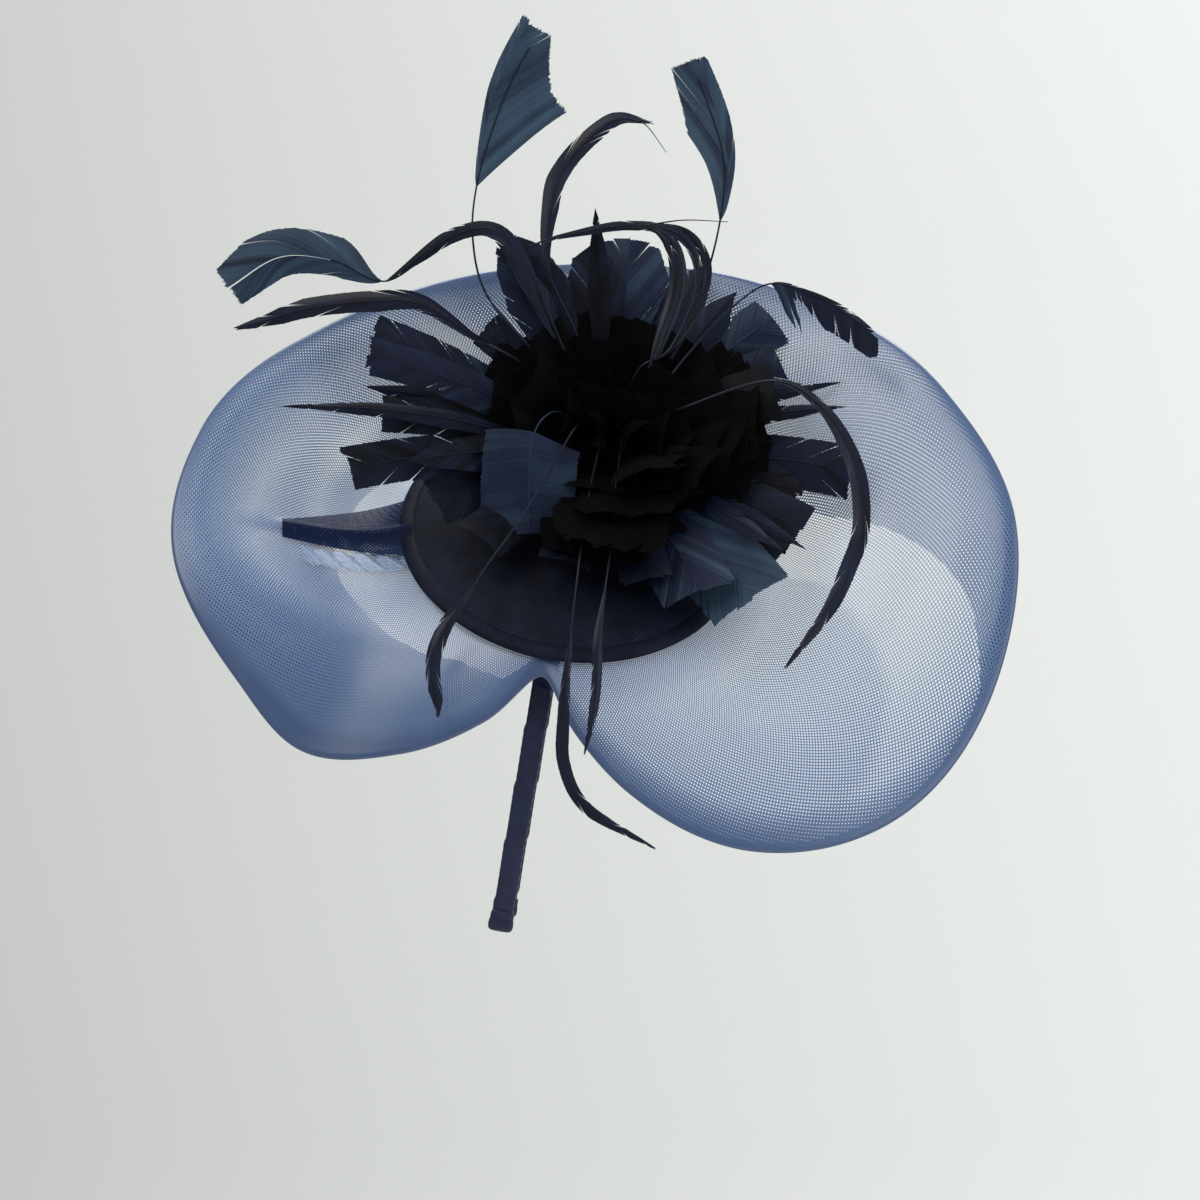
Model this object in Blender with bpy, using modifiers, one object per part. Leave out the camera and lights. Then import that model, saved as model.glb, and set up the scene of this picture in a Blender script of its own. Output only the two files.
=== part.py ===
"""Feathered cocktail hat: satin-wrapped headband, sinamay base, crinoline brim and a spray of feathers.

The headband's plane leans forward. Its inner face at the crown is the origin. +X is the wearer's front,
-Y the wearer's right, where the hat sits, and +Z is up.
"""

import math

import bmesh
import bpy
import numpy as np
from mathutils import Matrix, Vector

MM = 0.001
GAP = 0.3 * MM

# Headband
LEAN = math.radians(10)
SEAT_RADIUS = 66 * MM
ARM_LENGTH = 68 * MM
ARM_CLOSING = 9 * MM
RIBBON_WIDTH = 6.2 * MM
RIBBON_WALL = 0.5 * MM
CORE_THICKNESS = 1.0 * MM
TIP_FOLD_LENGTH = 5.5 * MM
TIP_WALL = 0.6 * MM
TIP_SLACK = 0.4 * MM
TIP_OVERHANG = 0.2 * MM
THREAD_RADIUS = 0.25 * MM
STITCH_PITCH = 10 * MM
ARC_STEPS = 36
ARM_STEPS = 8

# Base
BASE_ANGLE = math.radians(46)
BASE_RADIUS = 49 * MM
DOME_RADIUS = 130 * MM
DOME_RISE = 2 * MM
BASE_WALL = 1.2 * MM
DISC_INSET = 1.4 * MM
EDGE_WIRE_RADIUS = 0.5 * MM
EDGE_WIRE_INSET = 0.4 * MM
BINDING_WALL = 0.5 * MM
BINDING_DEPTH = 4 * MM
LINING_RADIUS = 32 * MM
LINING_WALL = 0.6 * MM
PAD_SIZE = (12 * MM, 28 * MM, 1.6 * MM)
PAD_CLEARANCE = 1.2 * MM
PAD_EDGE = 0.4 * MM
PATCH_WALL = 0.7 * MM
PATCH_HALF_LENGTH = 18 * MM
PATCH_HALF_WIDTH = 11 * MM
ROUND_STEPS = 40

# Brim
BRIM_ROOT_RADIUS = 35 * MM
BRIM_EDGE_INSET = 1 * MM
BRIM_CLEARANCE = 0.4 * MM
BRIM_LAYER_OFFSET = 0.9 * MM
CRIN_WALL = 0.4 * MM
GATHER_INSET = 1.2 * MM
GATHER_RADIUS = 0.3 * MM
BRIM_STEPS = 72
FRONT_STEPS = 8
FOLD_STEPS = 3
RETURN_STEPS = 5
# Rim outline around the base: angle from the front in degrees, reach and lift in mm.
RIM_OUTLINE = (
    (-90, 52, -13.5),
    (-80, 66, -21),
    (-68, 82, -31),
    (-50, 106, -40),
    (-29, 125, -35),
    (-8, 132, -15),
    (10, 130, 11),
    (29, 116, 26),
    (58, 101, 27),
    (84, 94, 21),
    (115, 92, 16),
    (148, 97, 12),
    (176, 112, 4),
    (197, 117, -10),
    (215, 107, -27),
    (228, 99, -39),
    (243, 82, -34),
    (257, 65, -24),
)
# How far the doubled layer comes back from the rim: angle in degrees, depth in mm.
RETURN_DEPTH = (
    (-90, 3),
    (-20, 3),
    (-10, 3.5),
    (0, 13),
    (10, 31),
    (20, 45),
    (30, 52),
    (60, 55),
    (150, 46),
    (186, 50),
    (198, 48),
    (215, 42),
    (228, 38),
    (243, 26),
    (257, 10),
    (270, 3),
)
# Slope of the rim seen along the brim: level, and its share that follows the wearer's up.
RIM_SLOPE = (-0.1, 0.7)
TAB_ANGLE = math.radians(186)
TAB_START = 3 * MM
TAB_LENGTH = 22 * MM
TAB_WIDTH = 13 * MM
TAB_WALL = 0.8 * MM
TAB_CLEARANCE = 1 * MM

# Feather spray
SPRAY_PLACE = (6 * MM, 22.5 * MM)
HEART_RADIUS = 9 * MM
HEART_CLEARANCE = 0.8 * MM
ROOT_CLEARANCE = 1.5 * MM
MOUNT_RADIUS = 13 * MM
MOUNT_WALL = 1.6 * MM
MOUNT_LIFT = 0.6 * MM
QUILL_RADIUS = 0.7 * MM
VANE_HALF_THICKNESS = 0.45 * MM
PETAL_ARCH = 0.05
# Height of a petal's root from the heart's middle: petal elevation in degrees, share of the heart's radius.
ROOT_LIFT = ((-8, -0.933), (0, -0.778), (15, -0.333), (30, 0.111), (50, 0.556))
# Trimmed petals: direction around the heart and elevation in degrees, length and half width in mm, end.
PETALS = {
    "petal_top_broad": (90, 30, 66, 10, "square"),
    "petal_top_left": (143, 38, 64, 6, "pointed"),
    "petal_top_dark_leaf": (126, 30, 68, 5.5, "pointed"),
    "petal_top_spike": (110, 52, 69, 3, "pointed"),
    "petal_back_left": (150, 20, 50, 6, "square"),
    "petal_back_right": (68, 26, 66, 6, "pointed"),
    "petal_left_upper": (166, 10, 76, 5.5, "square"),
    "petal_left_middle": (190, 18, 81, 5.5, "square"),
    "petal_left_pointed": (201, 10, 110, 3.5, "pointed"),
    "petal_left_lower": (205, 0, 84, 6, "square"),
    "petal_left_front": (216, -6, 62, 7, "square"),
    "petal_right_upper": (45, 19, 67, 6.5, "square"),
    "petal_right_second": (27, 22, 57, 4.5, "square"),
    "petal_right_black": (4, 29, 52, 8, "square"),
    "petal_right_pointed": (-4, 5, 70, 7, "square"),
    "petal_right_ragged": (-24, -3, 64, 8, "square"),
    "petal_lower_right": (-51, -8, 69, 9.5, "square"),
    "petal_front_square": (240, 6, 44, 12, "square"),
    "petal_lower_left": (233, -9, 60, 7, "square"),
    "petal_lower_front": (258, -8, 56, 8, "square"),
    "petal_lower_middle": (283, -8, 58, 7.5, "square"),
    "petal_back": (76, 12, 50, 6, "square"),
}
# Long feathers: half width of the vane in mm, bare share of the quill, and the rachis's route from the
# heart's centre, in mm along the hat's axes.
PLUMES = {
    "stripped_feather_top_left": (
        9,
        0.6,
        (
            (-23, -7, 27), (-36, -1, 43), (-40, 3, 59), (-39, 7, 75),
            (-34, 10, 93), (-28, 12, 108), (-20, 14, 122),
        ),
    ),
    "stripped_feather_top_right": (
        6.5,
        0.55,
        (
            (13, -3, 17), (19, -2, 25), (25, 0, 37), (32, 4, 61),
            (34, 7, 81), (30, 9, 97), (24, 11, 112),
        ),
    ),
    "stripped_feather_left": (
        8,
        0.65,
        (
            (-12, -6, 24), (-22, -5, 46), (-32, -4, 61), (-46, -2, 60),
            (-65, 1, 47), (-81, 3, 53), (-97, 4, 54), (-112, 5, 45),
        ),
    ),
    "stripped_feather_right": (
        5.5,
        0.6,
        (
            (15, -9, 15), (23, -7, 25), (35, -4, 38), (47, -1, 46),
            (59, 0, 43), (70, 0, 37), (79, -1, 30),
        ),
    ),
    "coque_plume_left": (
        3,
        0.3,
        (
            (-23, -7, 21), (-39, -7, 30), (-55, -5, 40), (-69, -3, 41),
            (-88, -1, 39), (-102, 0, 35), (-109, 0, 33),
        ),
    ),
    "coque_plume_top": (
        1.8,
        0.35,
        (
            (-9, 1, 30), (-18, -1, 51), (-17, 3, 71), (-13, 5, 81),
            (-5, 6, 90), (3, 7, 95), (12, 7, 94),
        ),
    ),
    "coque_plume_arch": (
        1.6,
        0.3,
        (
            (9, -9, 21), (18, -9, 27), (26, -6, 47), (21, -5, 60),
            (6, -4, 63), (-13, -5, 60), (-23, -6, 57),
        ),
    ),
    "coque_plume_right": (
        2.2,
        0.3,
        (
            (21, -17, 9), (47, -23, 17), (62, -27, 9), (71, -31, -7),
            (73, -35, -25), (69, -41, -38), (63, -46, -50), (51, -52, -66),
        ),
    ),
    "coque_plume_bottom": (
        2,
        0.35,
        (
            (-1, -15, 4), (-5, -29, -12), (-8, -43, -31), (-11, -50, -56),
            (-13, -52, -79), (-13, -53, -94), (-6, -54, -107), (13, -54, -118),
        ),
    ),
    "coque_plume_bottom_short": (
        1.6,
        0.4,
        (
            (4, -15, 3), (2, -29, -14), (0, -43, -35), (-3, -50, -57),
            (-4, -52, -75), (-7, -53, -91),
        ),
    ),
    "coque_plume_lower_left": (
        2.4,
        0.45,
        (
            (-9, -23, 4), (-18, -37, -11), (-26, -43, -24), (-38, -47, -41),
            (-51, -49, -61), (-51, -49, -80),
        ),
    ),
}

BAND_UP = Vector((math.sin(LEAN), 0, math.cos(LEAN)))
SIDE = Vector((0, 1, 0))
FORWARD = SIDE.cross(BAND_UP)
ARC_CENTRE = -SEAT_RADIUS * BAND_UP
BASE_NORMAL = -math.cos(BASE_ANGLE) * SIDE + math.sin(BASE_ANGLE) * BAND_UP
BASE_UP = math.sin(BASE_ANGLE) * SIDE + math.cos(BASE_ANGLE) * BAND_UP
WRAP_THICKNESS = CORE_THICKNESS + 2 * (GAP + RIBBON_WALL)
PAD_HEIGHT = DOME_RISE - BASE_WALL - LINING_WALL - 2 * GAP - PAD_CLEARANCE - PAD_SIZE[2] / 2
BASE_STANDOFF = WRAP_THICKNESS + 2 * (GAP + THREAD_RADIUS) + PAD_SIZE[2] / 2 - PAD_HEIGHT
BASE_CENTRE = ARC_CENTRE + (SEAT_RADIUS + BASE_STANDOFF) * BASE_NORMAL
BRIM_DROP = BASE_WALL + BINDING_WALL + BRIM_LAYER_OFFSET + CRIN_WALL / 2 + 2 * GAP + BRIM_CLEARANCE
HEART_HEIGHT = MOUNT_LIFT + MOUNT_WALL + HEART_CLEARANCE + HEART_RADIUS
ROOT_RING = HEART_RADIUS + ROOT_CLEARANCE


def axes_matrix(x_axis, y_axis, z_axis, place):
    """World matrix with these three axes at this place."""
    turn = Matrix((x_axis, y_axis, z_axis)).transposed()
    return Matrix.Translation(place) @ turn.to_4x4()


BAND_FRAME = axes_matrix(SIDE, BAND_UP, FORWARD, Vector((0, 0, 0)))
BASE_FRAME = axes_matrix(FORWARD, BASE_UP, BASE_NORMAL, BASE_CENTRE)


def dome_height(radius):
    """Height of the base's upper face over its centre plane."""
    return DOME_RISE - radius * radius / (2 * DOME_RADIUS)


def spray_frame():
    """Frame of the feather spray, standing square on the domed base."""
    forward, up = SPRAY_PLACE
    tilt = Vector((forward, up, DOME_RADIUS)).normalized()
    axis = BASE_FRAME.to_3x3() @ tilt
    across = (Vector((1, 0, 0)) - axis.x * axis).normalized()
    place = BASE_FRAME @ Vector((forward, up, dome_height(math.hypot(forward, up))))
    return axes_matrix(across, axis.cross(across), axis, place)


SPRAY_FRAME = spray_frame()
HEART_CENTRE = SPRAY_FRAME @ Vector((0, 0, HEART_HEIGHT))


# Scene and materials


def clear_scene():
    for obj in list(bpy.data.objects):
        bpy.data.objects.remove(obj)


def new_collection(name):
    collection = bpy.data.collections.new(name)
    bpy.context.scene.collection.children.link(collection)
    return collection


def material(name, colour, roughness, metallic=0.0):
    """A Principled material from an sRGB hex colour."""
    made = bpy.data.materials.new(name)
    made.use_nodes = True
    channels = [int(colour[i : i + 2], 16) / 255 for i in (1, 3, 5)]
    linear = [c / 12.92 if c <= 0.04045 else ((c + 0.055) / 1.055) ** 2.4 for c in channels]
    shader = made.node_tree.nodes["Principled BSDF"]
    shader.inputs["Base Color"].default_value = (*linear, 1)
    shader.inputs["Roughness"].default_value = roughness
    shader.inputs["Metallic"].default_value = metallic
    made.diffuse_color = (*linear, 1)
    return made


def place(name, data, look, matrix):
    """Adds an object for this mesh or curve to the hat's collection."""
    obj = bpy.data.objects.new(name, data)
    data.materials.append(look)
    HAT.objects.link(obj)
    obj.matrix_world = matrix
    return obj


# Shape helpers


def sheet(name, rows, wall, look, matrix, ring=False):
    """A grid of points as a surface, with Solidify for its wall. ring joins the last row to the first."""
    mesh = bpy.data.meshes.new(name)
    across = len(rows[0])
    count = len(rows)
    steps = count if ring else count - 1
    faces = []
    for i in range(steps):
        low, high = i * across, (i + 1) % count * across
        faces += [(low + j, low + j + 1, high + j + 1, high + j) for j in range(across - 1)]
    mesh.from_pydata([point for row in rows for point in row], [], faces)
    mesh.shade_smooth()
    obj = place(name, mesh, look, matrix)
    solid = obj.modifiers.new("wall", "SOLIDIFY")
    solid.thickness = wall
    solid.offset = 0
    return obj


def loft(name, sections, look, matrix):
    """A closed solid through rings of points, with a cap on each end."""
    mesh = bpy.data.meshes.new(name)
    body = bmesh.new()
    rings = [[body.verts.new(point) for point in section] for section in sections]
    for low, high in zip(rings, rings[1:]):
        for j, corner in enumerate(low):
            after = (j + 1) % len(low)
            body.faces.new((corner, low[after], high[after], high[j]))
    body.faces.new(list(reversed(rings[0])))
    body.faces.new(rings[-1])
    bmesh.ops.recalc_face_normals(body, faces=body.faces)
    body.to_mesh(mesh)
    body.free()
    mesh.shade_smooth()
    return place(name, mesh, look, matrix)


def turned(name, profile, look, matrix):
    """A closed profile of (radius, height) points turned about the local Z axis."""
    mesh = bpy.data.meshes.new(name)
    count = len(profile)
    edges = [(i, (i + 1) % count) for i in range(count)]
    mesh.from_pydata([(radius, 0, height) for radius, height in profile], edges, [])
    obj = place(name, mesh, look, matrix)
    screw = obj.modifiers.new("turn", "SCREW")
    screw.steps = ROUND_STEPS
    screw.render_steps = ROUND_STEPS
    screw.use_merge_vertices = True
    screw.merge_threshold = 0.00001
    screw.use_normal_calculate = True
    return obj


def wire(name, points, radius, look, matrix, cyclic=False):
    """A round wire through these points."""
    curve = bpy.data.curves.new(name, "CURVE")
    curve.dimensions = "3D"
    spline = curve.splines.new("POLY")
    spline.points.add(len(points) - 1)
    for target, point in zip(spline.points, points):
        target.co = (*point, 1)
    spline.use_cyclic_u = cyclic
    curve.bevel_depth = radius
    curve.bevel_resolution = 2
    curve.use_fill_caps = not cyclic
    return place(name, curve, look, matrix)


def flat_piece(name, outline, half_width, look, matrix):
    """A flat outline extruded both ways."""
    curve = bpy.data.curves.new(name, "CURVE")
    curve.dimensions = "2D"
    curve.fill_mode = "BOTH"
    curve.extrude = half_width
    spline = curve.splines.new("POLY")
    spline.points.add(len(outline) - 1)
    for target, (x, y) in zip(spline.points, outline):
        target.co = (x, y, 0, 1)
    spline.use_cyclic_u = True
    return place(name, curve, look, matrix)


def smooth_route(points, count):
    """Points evenly spaced along the smooth curve through these points."""
    known = np.array(points, dtype=float)
    padded = np.vstack((2 * known[0] - known[1], known, 2 * known[-1] - known[-2]))
    pieces = []
    for i in range(len(known) - 1):
        before, start, end, after = padded[i : i + 4]
        t = np.linspace(0, 1, 16, endpoint=False)[:, None]
        bend = 2 * before - 5 * start + 4 * end - after
        turn = 3 * (start - end) + after - before
        pieces.append(start + 0.5 * ((end - before) * t + bend * t**2 + turn * t**3))
    dense = np.vstack((*pieces, known[-1]))
    along = np.concatenate(([0], np.cumsum(np.linalg.norm(np.diff(dense, axis=0), axis=1))))
    wanted = np.linspace(0, along[-1], count)
    return np.stack([np.interp(wanted, along, dense[:, k]) for k in range(3)], axis=1)


def around(knots, angle, column):
    """Value at this angle, in degrees, of the smooth closed curve through the knots."""
    angles = np.array([knot[0] for knot in knots], dtype=float)
    values = np.array([knot[column] for knot in knots], dtype=float)
    angles = np.concatenate((angles - 360, angles, angles + 360))
    values = np.tile(values, 3)
    slopes = np.gradient(values, angles)
    angle = (angle + 90) % 360 - 90
    i = np.searchsorted(angles, angle, side="right") - 1
    span = angles[i + 1] - angles[i]
    t = (angle - angles[i]) / span
    start = values[i] * (1 + 2 * t) * (1 - t) ** 2 + slopes[i] * span * t * (1 - t) ** 2
    return start + values[i + 1] * t * t * (3 - 2 * t) - slopes[i + 1] * span * t * t * (1 - t)


# Headband


def band_line(radius, trim=0.0):
    """Half-round crown and slightly closing arms, from left tip to right tip, in the band's plane."""
    length = ARM_LENGTH - trim
    shares = np.linspace(1, 0, ARM_STEPS, endpoint=False) * length / ARM_LENGTH
    left = [(radius - ARM_CLOSING * u * u, -SEAT_RADIUS - ARM_LENGTH * u) for u in shares]
    turn = np.linspace(math.pi / 2, -math.pi / 2, ARC_STEPS + 1)
    crown = [(radius * math.sin(a), radius * math.cos(a) - SEAT_RADIUS) for a in turn]
    right = [(-x, y) for x, y in reversed(left)]
    return left + crown + right


def make_band_core():
    inner = SEAT_RADIUS + RIBBON_WALL + GAP
    outline = band_line(inner) + band_line(inner + CORE_THICKNESS)[::-1]
    half_width = RIBBON_WIDTH / 2 - RIBBON_WALL - GAP
    flat_piece("band_core_strip", outline, half_width, NYLON_STRIP, BAND_FRAME)


def make_ribbon_wrap():
    """Hollow sleeve around the core, open at the tips."""
    low = SEAT_RADIUS + RIBBON_WALL / 2
    high = SEAT_RADIUS + WRAP_THICKNESS - RIBBON_WALL / 2
    half = (RIBBON_WIDTH - RIBBON_WALL) / 2
    inner = band_line(low)
    outer = band_line(high)
    rows = []
    for (x0, y0), (x1, y1) in ((inner[i], outer[i]) for i in range(len(inner))):
        rows.append([(x0, y0, -half), (x0, y0, half), (x1, y1, half), (x1, y1, -half)])
    columns = [[row[k] for row in rows] for k in range(4)]
    sheet("ribbon_wrap", columns, RIBBON_WALL, SATIN, BAND_FRAME, ring=True)


def make_ribbon_tip(name, side):
    """Ribbon end folded square over the tip of one arm."""
    wall = TIP_WALL
    closing = (SEAT_RADIUS - ARM_CLOSING) * side
    slope = 2 * ARM_CLOSING / ARM_LENGTH
    tip_y = -SEAT_RADIUS - ARM_LENGTH
    clear = TIP_SLACK
    reach = TIP_FOLD_LENGTH

    def at(out, down):
        return (closing + side * (out - slope * down), tip_y - down)

    low = -clear
    high = WRAP_THICKNESS + clear
    outline = [
        at(low - wall, -reach),
        at(low - wall, clear + wall),
        at(high + wall, clear + wall),
        at(high + wall, -reach),
        at(high, -reach),
        at(high, clear),
        at(low, clear),
        at(low, -reach),
    ]
    flat_piece(name, outline, RIBBON_WIDTH / 2 + TIP_OVERHANG, SATIN, BAND_FRAME)


def make_band_stitch(name, offset):
    """Thread loop round the wrapped band, under the base."""
    clear = GAP + THREAD_RADIUS
    half = RIBBON_WIDTH / 2 + clear
    low = SEAT_RADIUS - clear
    high = SEAT_RADIUS + WRAP_THICKNESS + clear
    angle = offset / SEAT_RADIUS
    out = math.cos(angle) * BASE_NORMAL + math.sin(angle) * BASE_UP
    corners = [(low, -half), (low, half), (high, half), (high, -half)]
    points = [ARC_CENTRE + radius * out + across * FORWARD for radius, across in corners]
    wire(name, points, THREAD_RADIUS, THREAD, Matrix.Identity(4), cyclic=True)


# Base


def make_base_disc():
    radii = np.linspace(0, BASE_RADIUS - DISC_INSET, 7)
    top = [(r, dome_height(r)) for r in radii]
    under = [(r, dome_height(r) - BASE_WALL) for r in radii[::-1]]
    turned("sinamay_base", top + under, SINAMAY, BASE_FRAME)


def make_base_lining():
    radii = np.linspace(0, LINING_RADIUS, 5)
    drop = BASE_WALL + GAP
    top = [(r, dome_height(r) - drop) for r in radii]
    under = [(r, dome_height(r) - drop - LINING_WALL) for r in radii[::-1]]
    turned("base_lining", top + under, FELT, BASE_FRAME)


def edge_point(inward, up):
    """Point beside the base's edge, along and square to the sloping disc."""
    slope = math.atan2(BASE_RADIUS, DOME_RADIUS)
    middle = dome_height(BASE_RADIUS) - BASE_WALL / 2
    radius = BASE_RADIUS - inward * math.cos(slope) + up * math.sin(slope)
    return radius, middle + inward * math.sin(slope) + up * math.cos(slope)


def make_edge_wire():
    radius, height = edge_point(EDGE_WIRE_INSET, 0)
    turns = np.linspace(0, 2 * math.pi, ROUND_STEPS, endpoint=False)
    points = [(radius * math.cos(a), radius * math.sin(a), height) for a in turns]
    wire("edge_wire", points, EDGE_WIRE_RADIUS, STEEL, BASE_FRAME, cyclic=True)


def make_edge_binding():
    clear = BASE_WALL / 2 + GAP
    out = clear + BINDING_WALL
    back = EDGE_WIRE_INSET - EDGE_WIRE_RADIUS - GAP
    profile = [
        edge_point(BINDING_DEPTH, clear),
        edge_point(BINDING_DEPTH, out),
        edge_point(back - BINDING_WALL / 2, out),
        edge_point(back - BINDING_WALL, clear),
        edge_point(back - BINDING_WALL, -clear),
        edge_point(back - BINDING_WALL / 2, -out),
        edge_point(BINDING_DEPTH, -out),
        edge_point(BINDING_DEPTH, -clear),
        edge_point(back, -clear),
        edge_point(back, clear),
    ]
    turned("edge_binding", profile, SINAMAY, BASE_FRAME)


def make_felt_pad():
    """Packing between the band and the lining."""
    body = bmesh.new()
    bmesh.ops.create_cube(body, size=1, matrix=Matrix.Diagonal((*PAD_SIZE, 1)))
    mesh = bpy.data.meshes.new("felt_pad")
    body.to_mesh(mesh)
    body.free()
    obj = place("felt_pad", mesh, FELT, BASE_FRAME @ Matrix.Translation((0, 0, PAD_HEIGHT)))
    bevel = obj.modifiers.new("soft_edge", "BEVEL")
    bevel.width = PAD_EDGE
    bevel.segments = 2


def make_felt_patch():
    """Curved patch that covers the stitches on the head side."""
    radius = SEAT_RADIUS - 2 * (GAP + THREAD_RADIUS) - PATCH_WALL / 2
    rows = []
    for share in np.linspace(-1, 1, 11):
        angle = share * PATCH_HALF_LENGTH / radius
        middle = ARC_CENTRE + (BASE_NORMAL * math.cos(angle) + BASE_UP * math.sin(angle)) * radius
        half_width = PATCH_HALF_WIDTH * (1 - 0.55 * share**4)
        rows.append([middle + FORWARD * across for across in np.linspace(-half_width, half_width, 7)])
    sheet("felt_patch", rows, PATCH_WALL, FELT, Matrix.Identity(4))


# Brim


def brim_profile(degrees):
    """Middle of the brim at one angle, from under the base to the rim, as (radius, height) points."""
    rim = around(RIM_OUTLINE, degrees, 1) * MM
    lift = around(RIM_OUTLINE, degrees, 2) * MM
    edge = BASE_RADIUS - BRIM_EDGE_INSET
    edge_height = dome_height(edge) - BRIM_DROP
    start_slope = -edge / DOME_RADIUS
    end_slope = RIM_SLOPE[0] + RIM_SLOPE[1] * math.sin(math.radians(degrees))
    span = rim - edge
    inside = np.linspace(BRIM_ROOT_RADIUS, edge, 3)[:-1]
    radii = np.concatenate((inside, np.linspace(edge, rim, FRONT_STEPS - 1)))
    t = np.clip((radii - edge) / span, 0, 1)
    start = edge_height * (1 + 2 * t) * (1 - t) ** 2 + start_slope * span * t * (1 - t) ** 2
    outside = start + lift * t * t * (3 - 2 * t) - end_slope * span * t * t * (1 - t)
    under = DOME_RISE - radii**2 / (2 * DOME_RADIUS) - BRIM_DROP
    return np.stack((radii, np.where(radii < edge, under, outside)), axis=1)


def offset_line(line, distance):
    """The line moved sideways by this distance."""
    step = np.gradient(line, axis=0)
    step /= np.linalg.norm(step, axis=1)[:, None]
    return line + distance * np.stack((-step[:, 1], step[:, 0]), axis=1)


def brim_section(degrees):
    """Front layer, fold at the rim, and the doubled layer that comes back behind it."""
    middle = brim_profile(degrees)
    front = offset_line(middle, BRIM_LAYER_OFFSET)
    step = middle[-1] - middle[-2]
    step /= np.linalg.norm(step)
    side = np.array((-step[1], step[0]))
    turns = np.linspace(0, math.pi, FOLD_STEPS + 1)[1:-1]
    fold = [middle[-1] + BRIM_LAYER_OFFSET * (math.cos(a) * side + math.sin(a) * step) for a in turns]
    depths = [knot[1] for knot in RETURN_DEPTH]
    wrapped = (degrees + 90) % 360 - 90
    depth = np.interp(wrapped, [knot[0] for knot in RETURN_DEPTH], depths) * MM
    back_line = offset_line(middle, -BRIM_LAYER_OFFSET)[::-1]
    along = np.concatenate(([0], np.cumsum(np.linalg.norm(np.diff(back_line, axis=0), axis=1))))
    wanted = np.linspace(0, min(depth, along[-1]), RETURN_STEPS + 1)
    back = np.stack([np.interp(wanted, along, back_line[:, k]) for k in range(2)], axis=1)
    return np.vstack((front, fold, back))


def make_brim():
    rows = []
    for degrees in np.linspace(-90, 270, BRIM_STEPS, endpoint=False):
        angle = math.radians(degrees)
        section = brim_section(degrees)
        rows.append([(r * math.cos(angle), r * math.sin(angle), height) for r, height in section])
    sheet("crinoline_brim", rows, CRIN_WALL, CRINOLINE, BASE_FRAME, ring=True)


def make_gathering_thread():
    """Draw thread that gathers the brim's inner edge, just inside it."""
    radius = BRIM_ROOT_RADIUS - GATHER_INSET
    height = dome_height(radius) - BRIM_DROP
    turns = np.linspace(0, 2 * math.pi, ROUND_STEPS, endpoint=False)
    points = [(radius * math.cos(a), radius * math.sin(a), height) for a in turns]
    wire("gathering_thread", points, GATHER_RADIUS, THREAD, BASE_FRAME, cyclic=True)


def make_pleat_tab():
    """Folded end of the braid, lying over the brim beside the base."""
    lift = BRIM_LAYER_OFFSET + CRIN_WALL / 2 + TAB_CLEARANCE + TAB_WALL / 2
    start = BASE_RADIUS + TAB_START
    rows = []
    for radius in np.linspace(start, start + TAB_LENGTH, 6):
        row = []
        for width in np.linspace(-TAB_WIDTH / 2, TAB_WIDTH / 2, 5):
            angle = TAB_ANGLE + width / radius
            over = offset_line(brim_profile(math.degrees(angle)), lift)
            height = np.interp(radius, over[:, 0], over[:, 1])
            row.append((radius * math.cos(angle), radius * math.sin(angle), height))
        rows.append(row)
    sheet("crinoline_pleat_tab", rows, TAB_WALL, CRINOLINE, BASE_FRAME)


# Feather spray


def make_feather_mount():
    body = bmesh.new()
    radius = MOUNT_RADIUS
    bmesh.ops.create_cone(
        body, cap_ends=True, segments=32, radius1=radius, radius2=radius, depth=MOUNT_WALL
    )
    mesh = bpy.data.meshes.new("feather_mount")
    body.to_mesh(mesh)
    body.free()
    middle = MOUNT_LIFT + MOUNT_WALL / 2
    place("feather_mount", mesh, FELT, SPRAY_FRAME @ Matrix.Translation((0, 0, middle)))


def make_heart():
    body = bmesh.new()
    bmesh.ops.create_uvsphere(body, u_segments=20, v_segments=12, radius=HEART_RADIUS)
    mesh = bpy.data.meshes.new("hackle_heart")
    body.to_mesh(mesh)
    body.free()
    mesh.shade_smooth()
    middle = Matrix.Translation((0, 0, HEART_HEIGHT))
    place("hackle_heart", mesh, BLACK_FEATHER, SPRAY_FRAME @ middle)


def vane_sections(route, half_widths, half_thickness, facing):
    """Lens-shaped rings along a rachis: wide along the vane, thin square to it."""
    ahead = np.gradient(route, axis=0)
    ahead /= np.linalg.norm(ahead, axis=1)[:, None]
    across = np.cross(facing, ahead)
    across /= np.linalg.norm(across, axis=1)[:, None]
    up = np.cross(ahead, across)
    turns = np.linspace(0, 2 * math.pi, 6, endpoint=False)
    rings = []
    for k, centre in enumerate(route):
        wide = half_widths[k] * across[k]
        thick = half_thickness[k] * up[k]
        rings.append([Vector(centre + math.cos(a) * wide + math.sin(a) * thick) for a in turns])
    return rings


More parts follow.
